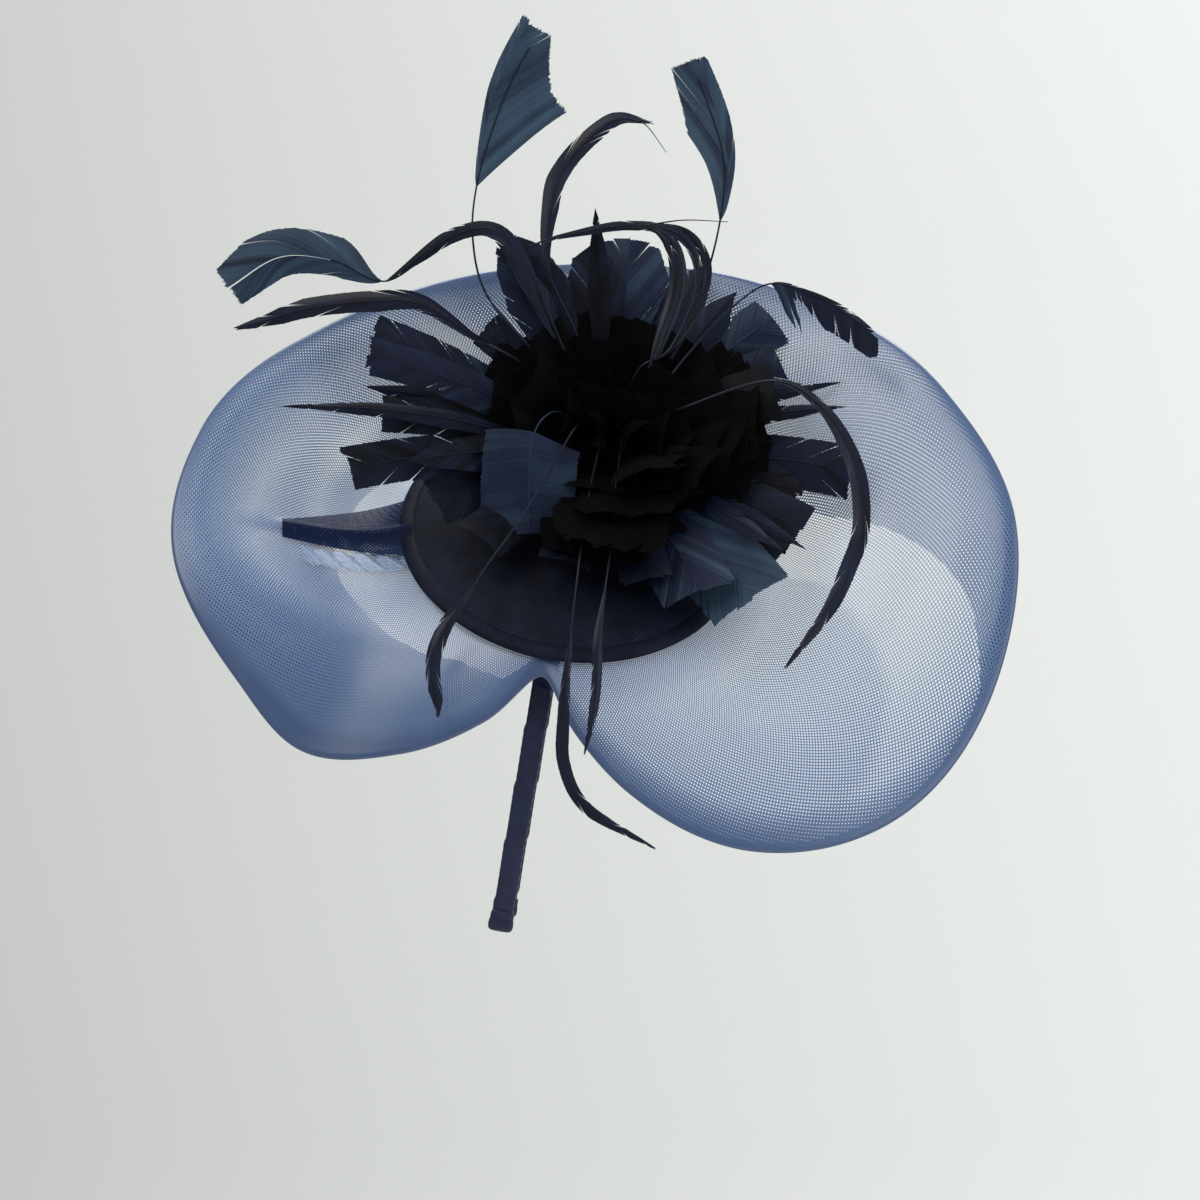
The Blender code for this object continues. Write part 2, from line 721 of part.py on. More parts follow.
def make_petal(name, degrees, elevation, length, half_width, end):
    """Goose petal, trimmed at its end, from the ring of roots around the heart."""
    turn = math.radians(degrees)
    rise = math.radians(elevation)
    out = np.array((math.cos(turn), math.sin(turn), 0.0))
    up = np.array((0.0, 0.0, 1.0))
    elevations, lifts = zip(*ROOT_LIFT)
    root_lift = np.interp(elevation, elevations, lifts) * HEART_RADIUS
    root = ROOT_RING * out + (HEART_HEIGHT + root_lift) * up
    tip = length * MM * (math.cos(rise) * out + math.sin(rise) * up) + HEART_HEIGHT * up
    shares = np.linspace(0, 1, 10)
    arch = PETAL_ARCH * length * MM * np.sin(shares * math.pi)
    route = root + shares[:, None] * (tip - root) + arch[:, None] * up
    end_width = 0.9 if end == "square" else 0.08
    wide = np.interp(shares, (0, 0.12, 0.4, 0.8, 1), (0, 0.1, 0.85, 1, end_width))
    half_widths = QUILL_RADIUS + wide * (half_width * MM - QUILL_RADIUS)
    half_thickness = QUILL_RADIUS + (VANE_HALF_THICKNESS - QUILL_RADIUS) * np.clip(shares / 0.3, 0, 1)
    sections = vane_sections(route, half_widths, half_thickness, up)
    loft(name, sections, GOOSE_FEATHER, SPRAY_FRAME)


def make_plume(name, half_width, bare_share, points):
    """Long feather on a bare quill, with its vane towards the tip."""
    first = np.array(points[0], dtype=float)
    root = first * (ROOT_RING / MM) / np.linalg.norm(first)
    route = smooth_route((root, *points), 24) * MM + np.array(HEART_CENTRE)
    shares = np.linspace(0, 1, len(route))
    stations = (0, bare_share, bare_share + 0.12, bare_share + 0.3, 0.88, 1)
    wide = np.interp(shares, stations, (0, 0, 0.7, 1, 0.85, 0.1))
    half_widths = QUILL_RADIUS + wide * (half_width * MM - QUILL_RADIUS)
    thinned = np.clip(shares / bare_share, 0, 1)
    half_thickness = QUILL_RADIUS + (VANE_HALF_THICKNESS - QUILL_RADIUS) * thinned
    sections = vane_sections(route, half_widths, half_thickness, np.array((0.0, -1.0, 0.0)))
    loft(name, sections, COQUE_FEATHER, Matrix.Identity(4))


clear_scene()
HAT = new_collection("feathered_cocktail_hat")
NYLON_STRIP = material("nylon_strip", "#20222c", 0.5)
SATIN = material("navy_satin_ribbon", "#1a1f33", 0.35)
SINAMAY = material("navy_sinamay_straw", "#171b2b", 0.6)
FELT = material("black_felt", "#15161c", 0.9)
STEEL = material("millinery_wire", "#3a3d45", 0.4, 0.8)
THREAD = material("navy_thread", "#14182a", 0.6)
CRINOLINE = material("blue_crinoline", "#27488f", 0.3)
GOOSE_FEATHER = material("navy_goose_feather", "#1c2333", 0.5)
COQUE_FEATHER = material("blue_black_coque_feather", "#162029", 0.35)
BLACK_FEATHER = material("black_hackle", "#0d0d14", 0.5)

make_band_core()
make_ribbon_wrap()
make_ribbon_tip("ribbon_tip_left", 1)
make_ribbon_tip("ribbon_tip_right", -1)
for number, offset in enumerate((-STITCH_PITCH, 0, STITCH_PITCH), 1):
    make_band_stitch(f"band_stitch_{number}", offset)
make_base_disc()
make_base_lining()
make_edge_wire()
make_edge_binding()
make_felt_pad()
make_felt_patch()
make_brim()
make_gathering_thread()
make_pleat_tab()
make_feather_mount()
make_heart()
for petal, sizes in PETALS.items():
    make_petal(petal, *sizes)
for plume, sizes in PLUMES.items():
    make_plume(plume, *sizes)
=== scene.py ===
"""Dresses the feathered cocktail hat: crinoline brim, sinamay base, satin band, and feathers barb by barb.

Lengths are in metres in the CAD frame: +X the wearer's front, -Y their right, where the hat sits, +Z up.
"""

import math

import bmesh
import bpy
import numpy as np
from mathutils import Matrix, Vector


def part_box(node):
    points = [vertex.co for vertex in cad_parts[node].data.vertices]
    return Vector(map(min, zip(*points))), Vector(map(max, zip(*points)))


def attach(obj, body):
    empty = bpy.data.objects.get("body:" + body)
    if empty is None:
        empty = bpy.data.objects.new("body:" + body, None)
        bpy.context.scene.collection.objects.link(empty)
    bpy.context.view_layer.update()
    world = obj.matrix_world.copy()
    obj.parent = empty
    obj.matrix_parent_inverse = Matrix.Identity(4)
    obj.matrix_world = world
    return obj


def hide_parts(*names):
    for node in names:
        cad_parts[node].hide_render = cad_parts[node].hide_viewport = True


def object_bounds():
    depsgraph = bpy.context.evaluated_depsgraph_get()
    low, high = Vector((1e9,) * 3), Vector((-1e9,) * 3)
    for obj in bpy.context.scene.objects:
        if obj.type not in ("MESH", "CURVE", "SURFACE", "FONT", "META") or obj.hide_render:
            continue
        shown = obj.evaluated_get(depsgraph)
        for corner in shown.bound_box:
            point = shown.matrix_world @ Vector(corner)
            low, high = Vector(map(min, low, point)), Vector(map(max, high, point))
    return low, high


bl_info = {
    "name": "Feathered Cocktail Hat",
    "version": (1, 0, 0),
    "blender": (4, 5, 0),
    "location": "View3D > Sidebar > Hat",
    "description": "Builds a crinoline and feather hat on a headband",
    "category": "Add Mesh",
}

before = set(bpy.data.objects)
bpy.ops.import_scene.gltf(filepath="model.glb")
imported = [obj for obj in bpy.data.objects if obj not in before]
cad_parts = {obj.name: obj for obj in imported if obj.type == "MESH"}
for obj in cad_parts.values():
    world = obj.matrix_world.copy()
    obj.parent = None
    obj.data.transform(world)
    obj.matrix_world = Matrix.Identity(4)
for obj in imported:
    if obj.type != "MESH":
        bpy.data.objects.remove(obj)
CAD_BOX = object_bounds()

MM = 0.001
BODY = "root"


def box_centre(name):
    """Middle of a CAD node's box."""
    low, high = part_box(name)
    return (np.array(low) + np.array(high)) / 2


# The hat's own directions, as the CAD model sets them
LEAN = math.radians(10)
BASE_ANGLE = math.radians(46)
SEAT_RADIUS = 66 * MM
WRAP_THICKNESS = 2.6 * MM
BASE_STANDOFF = 6.9 * MM
BASE_RADIUS = 49 * MM
DOME_RADIUS = 130 * MM
DOME_RISE = 2 * MM
BASE_WALL = 1.2 * MM
BASE_INSET = 1.4 * MM
BINDING_REACH = 1.5 * MM
BINDING_HALF_WIDTH = 2.4 * MM
BINDING_HALF_THICKNESS = 1.25 * MM
ARM_LENGTH = 68 * MM
ARM_CLOSING = 9 * MM
RIBBON_WIDTH = 6.2 * MM
BRIM_ROOT_RADIUS = 35 * MM
BRIM_DROP = 3.8 * MM
BRIM_EDGE_INSET = 1 * MM
RETURN_CLEAR_RADIUS = 42 * MM
FOLD_RADIUS = 1.6 * MM
# Where the brim is pinched, painted in shade on its back lobe, and dimpled: degrees from the front, and sizes
PLEAT_ANGLE = 190
PLEAT_SPREAD = 2.2 * MM
PLEAT_HEIGHT = 2.4 * MM
PLEAT_END = 98 * MM
PLEAT_FADE = 40 * MM
SHADED_LOBE_ANGLE = 228
SHADED_LOBE_SPREAD = 20
DIMPLE_ANGLE = -33
DIMPLE_SPREAD = 11
DIMPLE_DEPTH = 3.2 * MM
# Half widths of the braid's threads and the softness of their edges, as shares of the thread pitch
THINNEST_THREAD = 0.155
WIDEST_THREAD = 0.5
THREAD_SOFTNESS = 0.06
# In the UV's millimetres: the straw is coarser than real straw, so that the weave shows
MID_BRIM = 86
STRAW_PITCH = 1.3

BAND_UP = np.array((math.sin(LEAN), 0.0, math.cos(LEAN)))
SIDE = np.array((0.0, 1.0, 0.0))
FORWARD = np.cross(SIDE, BAND_UP)
BASE_NORMAL = -math.cos(BASE_ANGLE) * SIDE + math.sin(BASE_ANGLE) * BAND_UP
BASE_UP = math.sin(BASE_ANGLE) * SIDE + math.cos(BASE_ANGLE) * BAND_UP
ARC_CENTRE = -SEAT_RADIUS * BAND_UP
BASE_CENTRE = ARC_CENTRE + (SEAT_RADIUS + BASE_STANDOFF) * BASE_NORMAL

SPRAY_PLACE = (6 * MM, 22.5 * MM)
ROOT_RING = 10.5 * MM
HEART = box_centre("hackle_heart")
SPRAY_UP = SPRAY_PLACE[0] * FORWARD + SPRAY_PLACE[1] * BASE_UP + DOME_RADIUS * BASE_NORMAL
SPRAY_UP = SPRAY_UP / np.linalg.norm(SPRAY_UP)
SPRAY_ACROSS = np.array((1.0, 0.0, 0.0)) - SPRAY_UP[0] * SPRAY_UP
SPRAY_ACROSS = SPRAY_ACROSS / np.linalg.norm(SPRAY_ACROSS)
SPRAY_BACK = np.cross(SPRAY_UP, SPRAY_ACROSS)
TO_VIEWER = np.array((0.0, -1.0, 0.0))
# Petals are set between the spray's axis and the wearer's side, so that they show their faces from the side.
PETAL_FACING = 0.45 * SPRAY_UP + TO_VIEWER

# Rim outline around the base: angle from the front in degrees, reach and lift in mm.
RIM_OUTLINE = (
    (-90, 52, -13.5), (-80, 66, -21), (-68, 82, -31), (-50, 106, -40), (-29, 125, -35),
    (-8, 132, -15), (10, 130, 11), (29, 116, 26), (58, 101, 27), (84, 94, 21), (115, 92, 16),
    (148, 97, 12), (176, 112, 4), (197, 117, -10), (215, 107, -27), (228, 99, -39), (243, 82, -34),
    (257, 65, -24),
)
# How far the doubled layer comes back from the rim: angle in degrees, depth in mm.
RETURN_DEPTH = (
    (-90, 3), (-20, 3), (-10, 3.5), (0, 13), (10, 31), (20, 45), (30, 52), (60, 55), (150, 46),
    (186, 50), (198, 48), (215, 42), (228, 38), (243, 26), (257, 10), (270, 3),
)
# Trimmed petals: direction around the heart and elevation in degrees, length and half width in mm, end, tone.
PETALS = {
    "petal_top_broad": (90, 30, 68, 13, "pointed", 0.45),
    "petal_top_left": (143, 38, 66, 7, "pointed", 0.4),
    "petal_top_dark_leaf": (126, 30, 70, 9, "pointed", 0.3),
    "petal_top_spike": (110, 52, 69, 3.6, "pointed", 0.0),
    "petal_back_left": (150, 20, 50, 6, "square", 0.2),
    "petal_back_right": (68, 26, 68, 8, "pointed", 0.35),
    "petal_left_upper": (166, 10, 76, 5.5, "square", 0.35),
    "petal_left_middle": (190, 18, 81, 6, "square", 0.3),
    "petal_left_pointed": (201, 10, 110, 3.0, "pointed", 0.15),
    "petal_left_lower": (205, 0, 84, 7, "square", 0.2),
    "petal_left_front": (216, -6, 62, 8, "square", 0.1),
    "petal_right_upper": (45, 19, 68, 8.5, "square", 0.5),
    "petal_right_second": (27, 22, 58, 6.5, "square", 0.4),
    "petal_right_black": (4, 29, 52, 9, "square", -0.2),
    "petal_right_pointed": (-4, 5, 72, 8.5, "square", 0.25),
    "petal_right_ragged": (-24, -3, 64, 9, "square", 0.2),
    "petal_lower_right": (-51, -8, 71, 14, "square", 0.65),
    "petal_front_square": None,  # Turned down in front, so front_petal builds it
    "petal_lower_left": (233, -9, 60, 8, "square", 0.1),
    "petal_lower_front": (258, -8, 56, 8, "square", 0.1),
    "petal_lower_middle": (283, -8, 58, 8, "square", 0.15),
    "petal_back": (76, 12, 50, 7, "square", 0.2),
}
# More trimmed petals that fill the spray's sides: the same columns.
SIDE_PETALS = (
    (183, 6, 76, 4, "pointed", 0.2),
    (196, 8, 72, 6, "square", 0.1),
    (210, 4, 70, 6, "pointed", 0.1),
    (16, 20, 60, 5, "pointed", 0.3),
    (10, 14, 72, 3, "pointed", 0.2),
    (22, 12, 76, 2.5, "pointed", 0.2),
    (-14, 2, 60, 8, "pointed", 0.05),
    (-36, -5, 64, 8, "square", 0.15),
    (-40, 0, 68, 3.5, "pointed", 0.35),
    (-32, -2, 70, 3, "pointed", 0.3),
    (-64, -7, 66, 12, "square", 0.42),
    (56, 24, 66, 6, "pointed", 0.25),
    (104, 34, 62, 9, "pointed", 0.2),
    (134, 40, 60, 8, "pointed", 0.1),
)
# Long feathers: half width of the vane in mm, bare share of the quill, shape, route from the heart in mm.
PLUMES = {
    "stripped_feather_top_left": (
        9, 0.61, "blade_broad",
        (
            (-23, -7, 27), (-36, -1, 43), (-40, 3, 59), (-39, 7, 75), (-34, 10, 93), (-28, 12, 108),
            (-20, 14, 122),
        ),
    ),
    "stripped_feather_top_right": (
        6.5, 0.56, "blade_slim",
        (
            (13, -3, 17), (19, -2, 25), (25, 0, 37), (32, 4, 61), (34, 7, 81), (30, 9, 97), (24, 11, 112),
        ),
    ),
    "stripped_feather_left": (
        8, 0.665, "blade_split",
        (
            (-12, -6, 24), (-22, -5, 46), (-32, -4, 61), (-46, -2, 60), (-65, 1, 47), (-81, 3, 53),
            (-97, 4, 54), (-112, 5, 45),
        ),
    ),
    "stripped_feather_right": (
        5.5, 0.62, "ragged",
        (
            (15, -9, 15), (23, -7, 25), (35, -4, 38), (47, -1, 46), (59, 0, 43), (70, 0, 37),
            (79, -1, 30),
        ),
    ),
    "coque_plume_left": (
        3.3, 0.3, "curl",
        (
            (-23, -7, 21), (-39, -7, 30), (-55, -5, 40), (-69, -3, 41), (-88, -1, 39), (-102, 0, 35),
            (-109, 0, 33),
        ),
    ),
    "coque_plume_top": (
        3.0, 0.35, "curl",
        (
            (-9, 1, 30), (-18, -1, 51), (-17, 3, 71), (-13, 5, 81), (-5, 6, 90), (3, 7, 95), (12, 7, 94),
        ),
    ),
    "coque_plume_arch": (
        1.6, 0.3, "curl",
        (
            (9, -9, 21), (18, -9, 27), (26, -6, 47), (21, -5, 60), (6, -4, 63), (-13, -5, 60),
            (-23, -6, 57),
        ),
    ),
    "coque_plume_right": (
        2.8, 0.3, "curl",
        (
            (21, -17, 9), (47, -23, 17), (62, -27, 9), (71, -31, -7), (73, -35, -25), (69, -41, -38),
            (63, -46, -50), (51, -52, -66),
        ),
    ),
    "coque_plume_bottom": (
        2, 0.5, "curl",
        (
            (-1, -15, 4), (-5, -29, -12), (-8, -43, -31), (-11, -50, -56), (-13, -52, -79),
            (-13, -53, -94), (-6, -54, -107), (13, -54, -118),
        ),
    ),
    "coque_plume_bottom_short": (
        1.6, 0.55, "curl",
        (
            (4, -15, 3), (2, -29, -14), (0, -43, -35), (-3, -50, -57), (-4, -52, -75), (-7, -53, -91),
        ),
    ),
    "coque_plume_lower_left": (
        2.4, 0.62, "curl",
        (
            (-9, -23, 4), (-18, -37, -11), (-26, -43, -24), (-38, -48, -41), (-50, -52, -61),
            (-49, -53, -80),
        ),
    ),
}


# Mesh helpers


def dome_height(radius):
    """Height of the base's upper face: a shallow ball cap."""
    return DOME_RISE - radius * radius / (2 * DOME_RADIUS)


def base_points(radius, angle, height):
    """World points from polar places on the base: its centre, the radius at the angle, then the height."""
    flat = np.multiply.outer(radius * np.cos(angle), FORWARD)
    flat = flat + np.multiply.outer(radius * np.sin(angle), BASE_UP)
    return BASE_CENTRE + flat + np.multiply.outer(height, BASE_NORMAL)


def around(knots, degrees, column):
    """Smooth closed curve through the knots, by cubic Hermite pieces, at every angle of an array."""
    angles = np.array([knot[0] for knot in knots], dtype=float)
    values = np.array([knot[column] for knot in knots], dtype=float)
    angles = np.concatenate((angles - 360, angles, angles + 360))
    values = np.tile(values, 3)
    slopes = np.gradient(values, angles)
    degrees = (degrees + 90) % 360 - 90
    i = np.searchsorted(angles, degrees, side="right") - 1
    span = angles[i + 1] - angles[i]
    t = (degrees - angles[i]) / span
    start = values[i] * (1 + 2 * t) * (1 - t) ** 2 + slopes[i] * span * t * (1 - t) ** 2
    return start + values[i + 1] * t * t * (3 - 2 * t) - slopes[i + 1] * span * t * t * (1 - t)


def grid_faces(rows, columns):
    """Corner numbers of a grid's quads, row by row."""
    i = np.arange(rows - 1)[:, None] * columns
    j = np.arange(columns - 1)[None, :]
    corners = (i + j, i + j + 1, i + j + columns + 1, i + j + columns)
    return np.stack(corners, axis=-1).reshape(-1, 4)


def net(down, over):
    """A grid's two coordinates, each given as (first, last, count): down the rows, then over the columns."""
    return np.meshgrid(np.linspace(*down), np.linspace(*over), indexing="ij")


def mesh_object(name, look, points, faces=None, tone=None, uv=None, weld=False, flip=False):
    """A mesh from arrays: points, quads, and a tone and a UV in millimetres at each point. Without quads the
    points are a grid, which flip turns over; weld closes its seams and poles.
    """
    if faces is None:
        faces = grid_faces(*points.shape[:2])[:, :: -1 if flip else 1]
    mesh = bpy.data.meshes.new(name)
    mesh.vertices.add(points.size // 3)
    mesh.vertices.foreach_set("co", points.astype(np.float32).ravel())
    mesh.loops.add(faces.size)
    mesh.loops.foreach_set("vertex_index", faces.astype(np.int32).ravel())
    mesh.polygons.add(len(faces))
    mesh.polygons.foreach_set("loop_start", np.arange(0, faces.size, 4, dtype=np.int32))
    mesh.update(calc_edges=True)
    mesh.validate()
    mesh.shade_smooth()
    if tone is not None:
        layer = mesh.attributes.new("tone", "FLOAT", "POINT")
        layer.data.foreach_set("value", tone.astype(np.float32).ravel())
    if uv is not None:
        corner = np.empty(len(mesh.loops), dtype=np.int32)
        mesh.loops.foreach_get("vertex_index", corner)
        layer = mesh.uv_layers.new(name="threads")
        layer.uv.foreach_set("vector", uv.reshape(-1, 2)[corner].astype(np.float32).ravel())
    if weld:
        work = bmesh.new()
        work.from_mesh(mesh)
        bmesh.ops.remove_doubles(work, verts=work.verts, dist=1e-6)
        work.to_mesh(mesh)
        work.free()
    mesh.materials.append(look)
    obj = bpy.data.objects.new(name, mesh)
    bpy.context.scene.collection.objects.link(obj)
    return obj


def settle(piece, slot, *nodes):
    """Ties a piece to the hat's one body and hides the CAD nodes that it stands for. slot is not used."""
    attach(piece, BODY)
    if nodes:
        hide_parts(*nodes)


# Material helpers


def linear(colour):
    """sRGB hex to linear RGBA."""
    channels = [int(colour[i : i + 2], 16) / 255 for i in (1, 3, 5)]
    return tuple(c / 12.92 if c <= 0.04045 else ((c + 0.055) / 1.055) ** 2.4 for c in channels) + (1.0,)


def add(tree, kind, inputs=None, stops=(), **settings):
    """Adds a node with its settings. An input is a value, a socket, or a node, which gives its first output.
    stops fills a colour ramp: (place, linear RGBA), first, last, then any between.
    """
    made = tree.nodes.new(kind)
    for key, value in settings.items():
        setattr(made, key, value)
    for key, value in (inputs or {}).items():
        source = value.outputs[0] if isinstance(value, bpy.types.Node) else value
        if isinstance(source, bpy.types.NodeSocket):
            tree.links.new(source, made.inputs[key])
        else:
            made.inputs[key].default_value = source
    for number, (place, colour) in enumerate(stops):
        band = made.color_ramp.elements
        stop = band[number] if number < 2 else band.new(place)
        stop.position = place
        stop.color = colour
    return made


def new_material(name, **sockets):
    """A Principled material; sockets sets its uniform values by plain names."""
    names = {"roughness": "Roughness", "ior": "IOR", "sheen": "Sheen Weight"}
    names |= {"specular": "Specular IOR Level", "anisotropic": "Anisotropic"}
    made = bpy.data.materials.new(name)
    made.use_nodes = True
    shader = made.node_tree.nodes["Principled BSDF"]
    for key, value in sockets.items():
        shader.inputs[names[key]].default_value = value
    return made, made.node_tree, shader


def thread_family(tree, along, pitch, half_width):
    """1 on a thread and 0 between: the distance to the nearest thread's middle against the half width."""
    turns = add(tree, "ShaderNodeMath", {0: along, 1: pitch}, operation="DIVIDE")
    share = add(tree, "ShaderNodeMath", {0: turns}, operation="FRACT")
    centred = add(tree, "ShaderNodeMath", {0: share, 1: 0.5}, operation="SUBTRACT")
    off = add(tree, "ShaderNodeMath", {0: centred}, operation="ABSOLUTE")
    inner = add(tree, "ShaderNodeMath", {0: half_width, 1: THREAD_SOFTNESS}, operation="SUBTRACT")
    inputs = {"Value": off, "From Min": inner, "From Max": half_width, "To Min": 1.0, "To Max": 0.0}
    return add(tree, "ShaderNodeMapRange", inputs)


def crinoline_material(name, sizes, crowding, gloss=1.0):
    """Nylon horsehair braid: clear blue monofilament, woven open on the bias. Threads take glossy highlights
    and the gaps are empty, so two layers cross in a moire. crowding adds to the tone; gloss scales the shine.
    """
    pitch = sizes.thread_pitch / MM
    made, tree, shader = new_material(name, roughness=0.3, ior=1.53, sheen=gloss * 0.2, specular=gloss * 0.6)
    uv = add(tree, "ShaderNodeUVMap", uv_map="threads")
    parts = add(tree, "ShaderNodeSeparateXYZ", {0: uv}).outputs
    drawn = add(tree, "ShaderNodeAttribute", attribute_name="tone").outputs["Fac"]
    spread = {0: drawn, 1: WIDEST_THREAD - THINNEST_THREAD, 2: THINNEST_THREAD}
    width = add(tree, "ShaderNodeMath", spread, operation="MULTIPLY_ADD")
    rising = add(tree, "ShaderNodeMath", {0: parts["X"], 1: parts["Y"]}, operation="ADD")
    falling = add(tree, "ShaderNodeMath", {0: parts["X"], 1: parts["Y"]}, operation="SUBTRACT")
    families = [thread_family(tree, along, pitch, width) for along in (rising, falling)]
    cover = add(tree, "ShaderNodeMath", dict(enumerate(families)), operation="MAXIMUM")
    tree.links.new(cover.outputs[0], shader.inputs["Alpha"])
    tone = add(tree, "ShaderNodeMath", {0: drawn, 1: crowding}, operation="ADD")
    half = add(tree, "ShaderNodeMath", {0: tone, 1: 0.5}, operation="MULTIPLY")
    stops = ((0.0, sizes.pale), (1.0, linear("#0f1530")), (0.5, sizes.deep))
    colour = add(tree, "ShaderNodeValToRGB", {"Fac": half}, stops)
    tree.links.new(colour.outputs[0], shader.inputs["Base Color"])
    made.surface_render_method = "DITHERED"
    return made


def feather_material(name, dark, middle, light, **sockets):
    """Dyed feather: satiny keratin barbs, darker at the rachis and paler where they are thin."""
    made, tree, shader = new_material(name, **sockets)
    tone = add(tree, "ShaderNodeAttribute", attribute_name="tone").outputs["Fac"]
    place = add(tree, "ShaderNodeTexCoord").outputs["Object"]
    # Dye takes unevenly over about 12 mm.
    cloud = add(tree, "ShaderNodeTexNoise", {"Vector": place, "Scale": 80.0, "Detail": 2.0})
    uneven = add(tree, "ShaderNodeMath", {0: cloud, 1: 0.5}, operation="SUBTRACT")
    mixed = add(tree, "ShaderNodeMath", {0: uneven, 1: 0.35, 2: tone}, operation="MULTIPLY_ADD")
    colour = add(tree, "ShaderNodeValToRGB", {"Fac": mixed}, ((0.0, dark), (1.0, light), (0.5, middle)))
    tree.links.new(colour.outputs[0], shader.inputs["Base Color"])
    return made


def satin_material(colour):
    """Polyester satin ribbon: long floats along it give a broad soft highlight, crossed by fine ribs."""
    finish = {"roughness": 0.4, "sheen": 0.04, "specular": 0.3, "anisotropic": 0.4}
    made, tree, shader = new_material("navy_polyester_satin", **finish)
    place = add(tree, "ShaderNodeTexCoord").outputs["Object"]
    cloud = add(tree, "ShaderNodeTexNoise", {"Vector": place, "Scale": 180.0, "Detail": 3.0})
    worn = tuple(1.7 * channel for channel in colour[:3]) + (1.0,)
    mottle = add(tree, "ShaderNodeValToRGB", {"Fac": cloud}, ((0.35, colour), (0.75, worn)))
    tree.links.new(mottle.outputs[0], shader.inputs["Base Color"])
    # Ribs of 0.7 mm, coarser than real satin's so that they show.
    wave = {"Vector": place, "Scale": 220.0, "Distortion": 0.6}
    ribs = add(tree, "ShaderNodeTexWave", wave, bands_direction="Z")
    bump = add(tree, "ShaderNodeBump", {"Height": ribs.outputs["Fac"], "Strength": 0.12, "Distance": 0.0002})
    tree.links.new(bump.outputs["Normal"], shader.inputs["Normal"])
    return made


def sinamay_material():
    """Sinamay: stiffened abaca straw in an open plain weave, dyed near black, with darker gaps. Its tone
    paints light: painted shade towards the middle under the spray, lighter towards the rim.
    """
    made, tree, shader = new_material("navy_dyed_sinamay", roughness=0.6, sheen=0.0, specular=0.1)
    uv = add(tree, "ShaderNodeUVMap", uv_map="threads")
    parts = add(tree, "ShaderNodeSeparateXYZ", {0: uv}).outputs
    warp = thread_family(tree, parts["X"], STRAW_PITCH, 0.34)
    weft = thread_family(tree, parts["Y"], STRAW_PITCH, 0.3)
    straw = add(tree, "ShaderNodeMath", {0: warp, 1: weft}, operation="MAXIMUM")
    noise = add(tree, "ShaderNodeTexNoise", {"Vector": uv, "Scale": 0.12, "Detail": 5.0})
    # Painted light: the tone is low in the middle of the base, as painted shade under the spray, and high
    # towards the rim, which is drawn lighter.
    edge = add(tree, "ShaderNodeAttribute", attribute_name="tone").outputs["Fac"]
    worn = add(tree, "ShaderNodeMath", {0: noise, 1: 0.7, 2: -0.28}, operation="MULTIPLY_ADD")
    woven = add(tree, "ShaderNodeMath", {0: straw, 1: 0.26, 2: worn}, operation="MULTIPLY_ADD")
    lit = add(tree, "ShaderNodeMath", {0: edge, 1: 0.25, 2: woven}, operation="MULTIPLY_ADD")
    dyes = ((0.0, "#06070c"), (1.0, "#39435a"), (0.35, "#0c0f1b"), (0.65, "#161c30"))
    stops = [(at, linear(dye)) for at, dye in dyes]
    colour = add(tree, "ShaderNodeValToRGB", {"Fac": lit}, stops)
    tree.links.new(colour.outputs[0], shader.inputs["Base Color"])
    bump = add(tree, "ShaderNodeBump", {"Height": straw, "Strength": 0.35, "Distance": 0.0003})
    tree.links.new(bump.outputs["Normal"], shader.inputs["Normal"])
    return made


def plain_material(name, colour, mottle, scale, **sockets):
    """A plain piece with a fine mottle: felt fibre, thread or coated wire."""
    made, tree, shader = new_material(name, **sockets)
    place = add(tree, "ShaderNodeTexCoord").outputs["Object"]
    cloud = add(tree, "ShaderNodeTexNoise", {"Vector": place, "Scale": scale, "Detail": 4.0})
    stops = ((0.3, linear(colour)), (0.7, linear(mottle)))
    mixed = add(tree, "ShaderNodeValToRGB", {"Fac": cloud}, stops)
    tree.links.new(mixed.outputs[0], shader.inputs["Base Color"])
    bump = add(tree, "ShaderNodeBump", {"Height": cloud, "Strength": 0.3, "Distance": 0.0002})
    tree.links.new(bump.outputs["Normal"], shader.inputs["Normal"])
    return made


# Brim


def pleat(degrees, radius):
    """Share, 0 to 1, of the pinched pleat behind the base: a narrow ridge that fades out along the brim."""
    away = np.radians(degrees - PLEAT_ANGLE) * radius
    fade = np.clip((PLEAT_END - radius) / PLEAT_FADE, 0, 1)
    return np.exp(-((away / PLEAT_SPREAD) ** 2)) * fade


def lobe_shade(degrees):
    """Share, 0 to 1, of the painted shade on the back lobe, where the braid is drawn denser and darker."""
    return np.exp(-(((degrees % 360 - SHADED_LOBE_ANGLE) / SHADED_LOBE_SPREAD) ** 2))


def brim_height(degrees, radius):
    """Height of the brim's middle: a cubic from the dome's slope to the rim's, then waves, dimple, pleat."""
    rim = around(RIM_OUTLINE, degrees, 1) * MM
    lift = around(RIM_OUTLINE, degrees, 2) * MM
    edge = BASE_RADIUS - BRIM_EDGE_INSET
    turn = np.radians(degrees)
    end_slope = -0.1 + 0.7 * np.sin(turn)
    span = rim - edge
    t = np.clip((radius - edge) / span, 0, 1)
    inner = (dome_height(edge) - BRIM_DROP) * (1 + 2 * t) * (1 - t) ** 2
    inner = inner - edge / DOME_RADIUS * span * t * (1 - t) ** 2
    outer = lift * t * t * (3 - 2 * t) - end_slope * span * t * t * (1 - t)
    smooth = np.where(radius < edge, dome_height(radius) - BRIM_DROP, inner + outer)
    slow = 1.1 * np.sin(5 * turn + 0.6) + 0.7 * np.sin(9 * turn + 2.0)
    dimple = np.exp(-(((degrees - DIMPLE_ANGLE) / DIMPLE_SPREAD) ** 2) - ((t - 0.3) / 0.17) ** 2)
    ridge = PLEAT_HEIGHT * pleat(degrees % 360, radius)
    return smooth + slow * t * (1 - 0.7 * t) * MM - DIMPLE_DEPTH * dimple + ridge


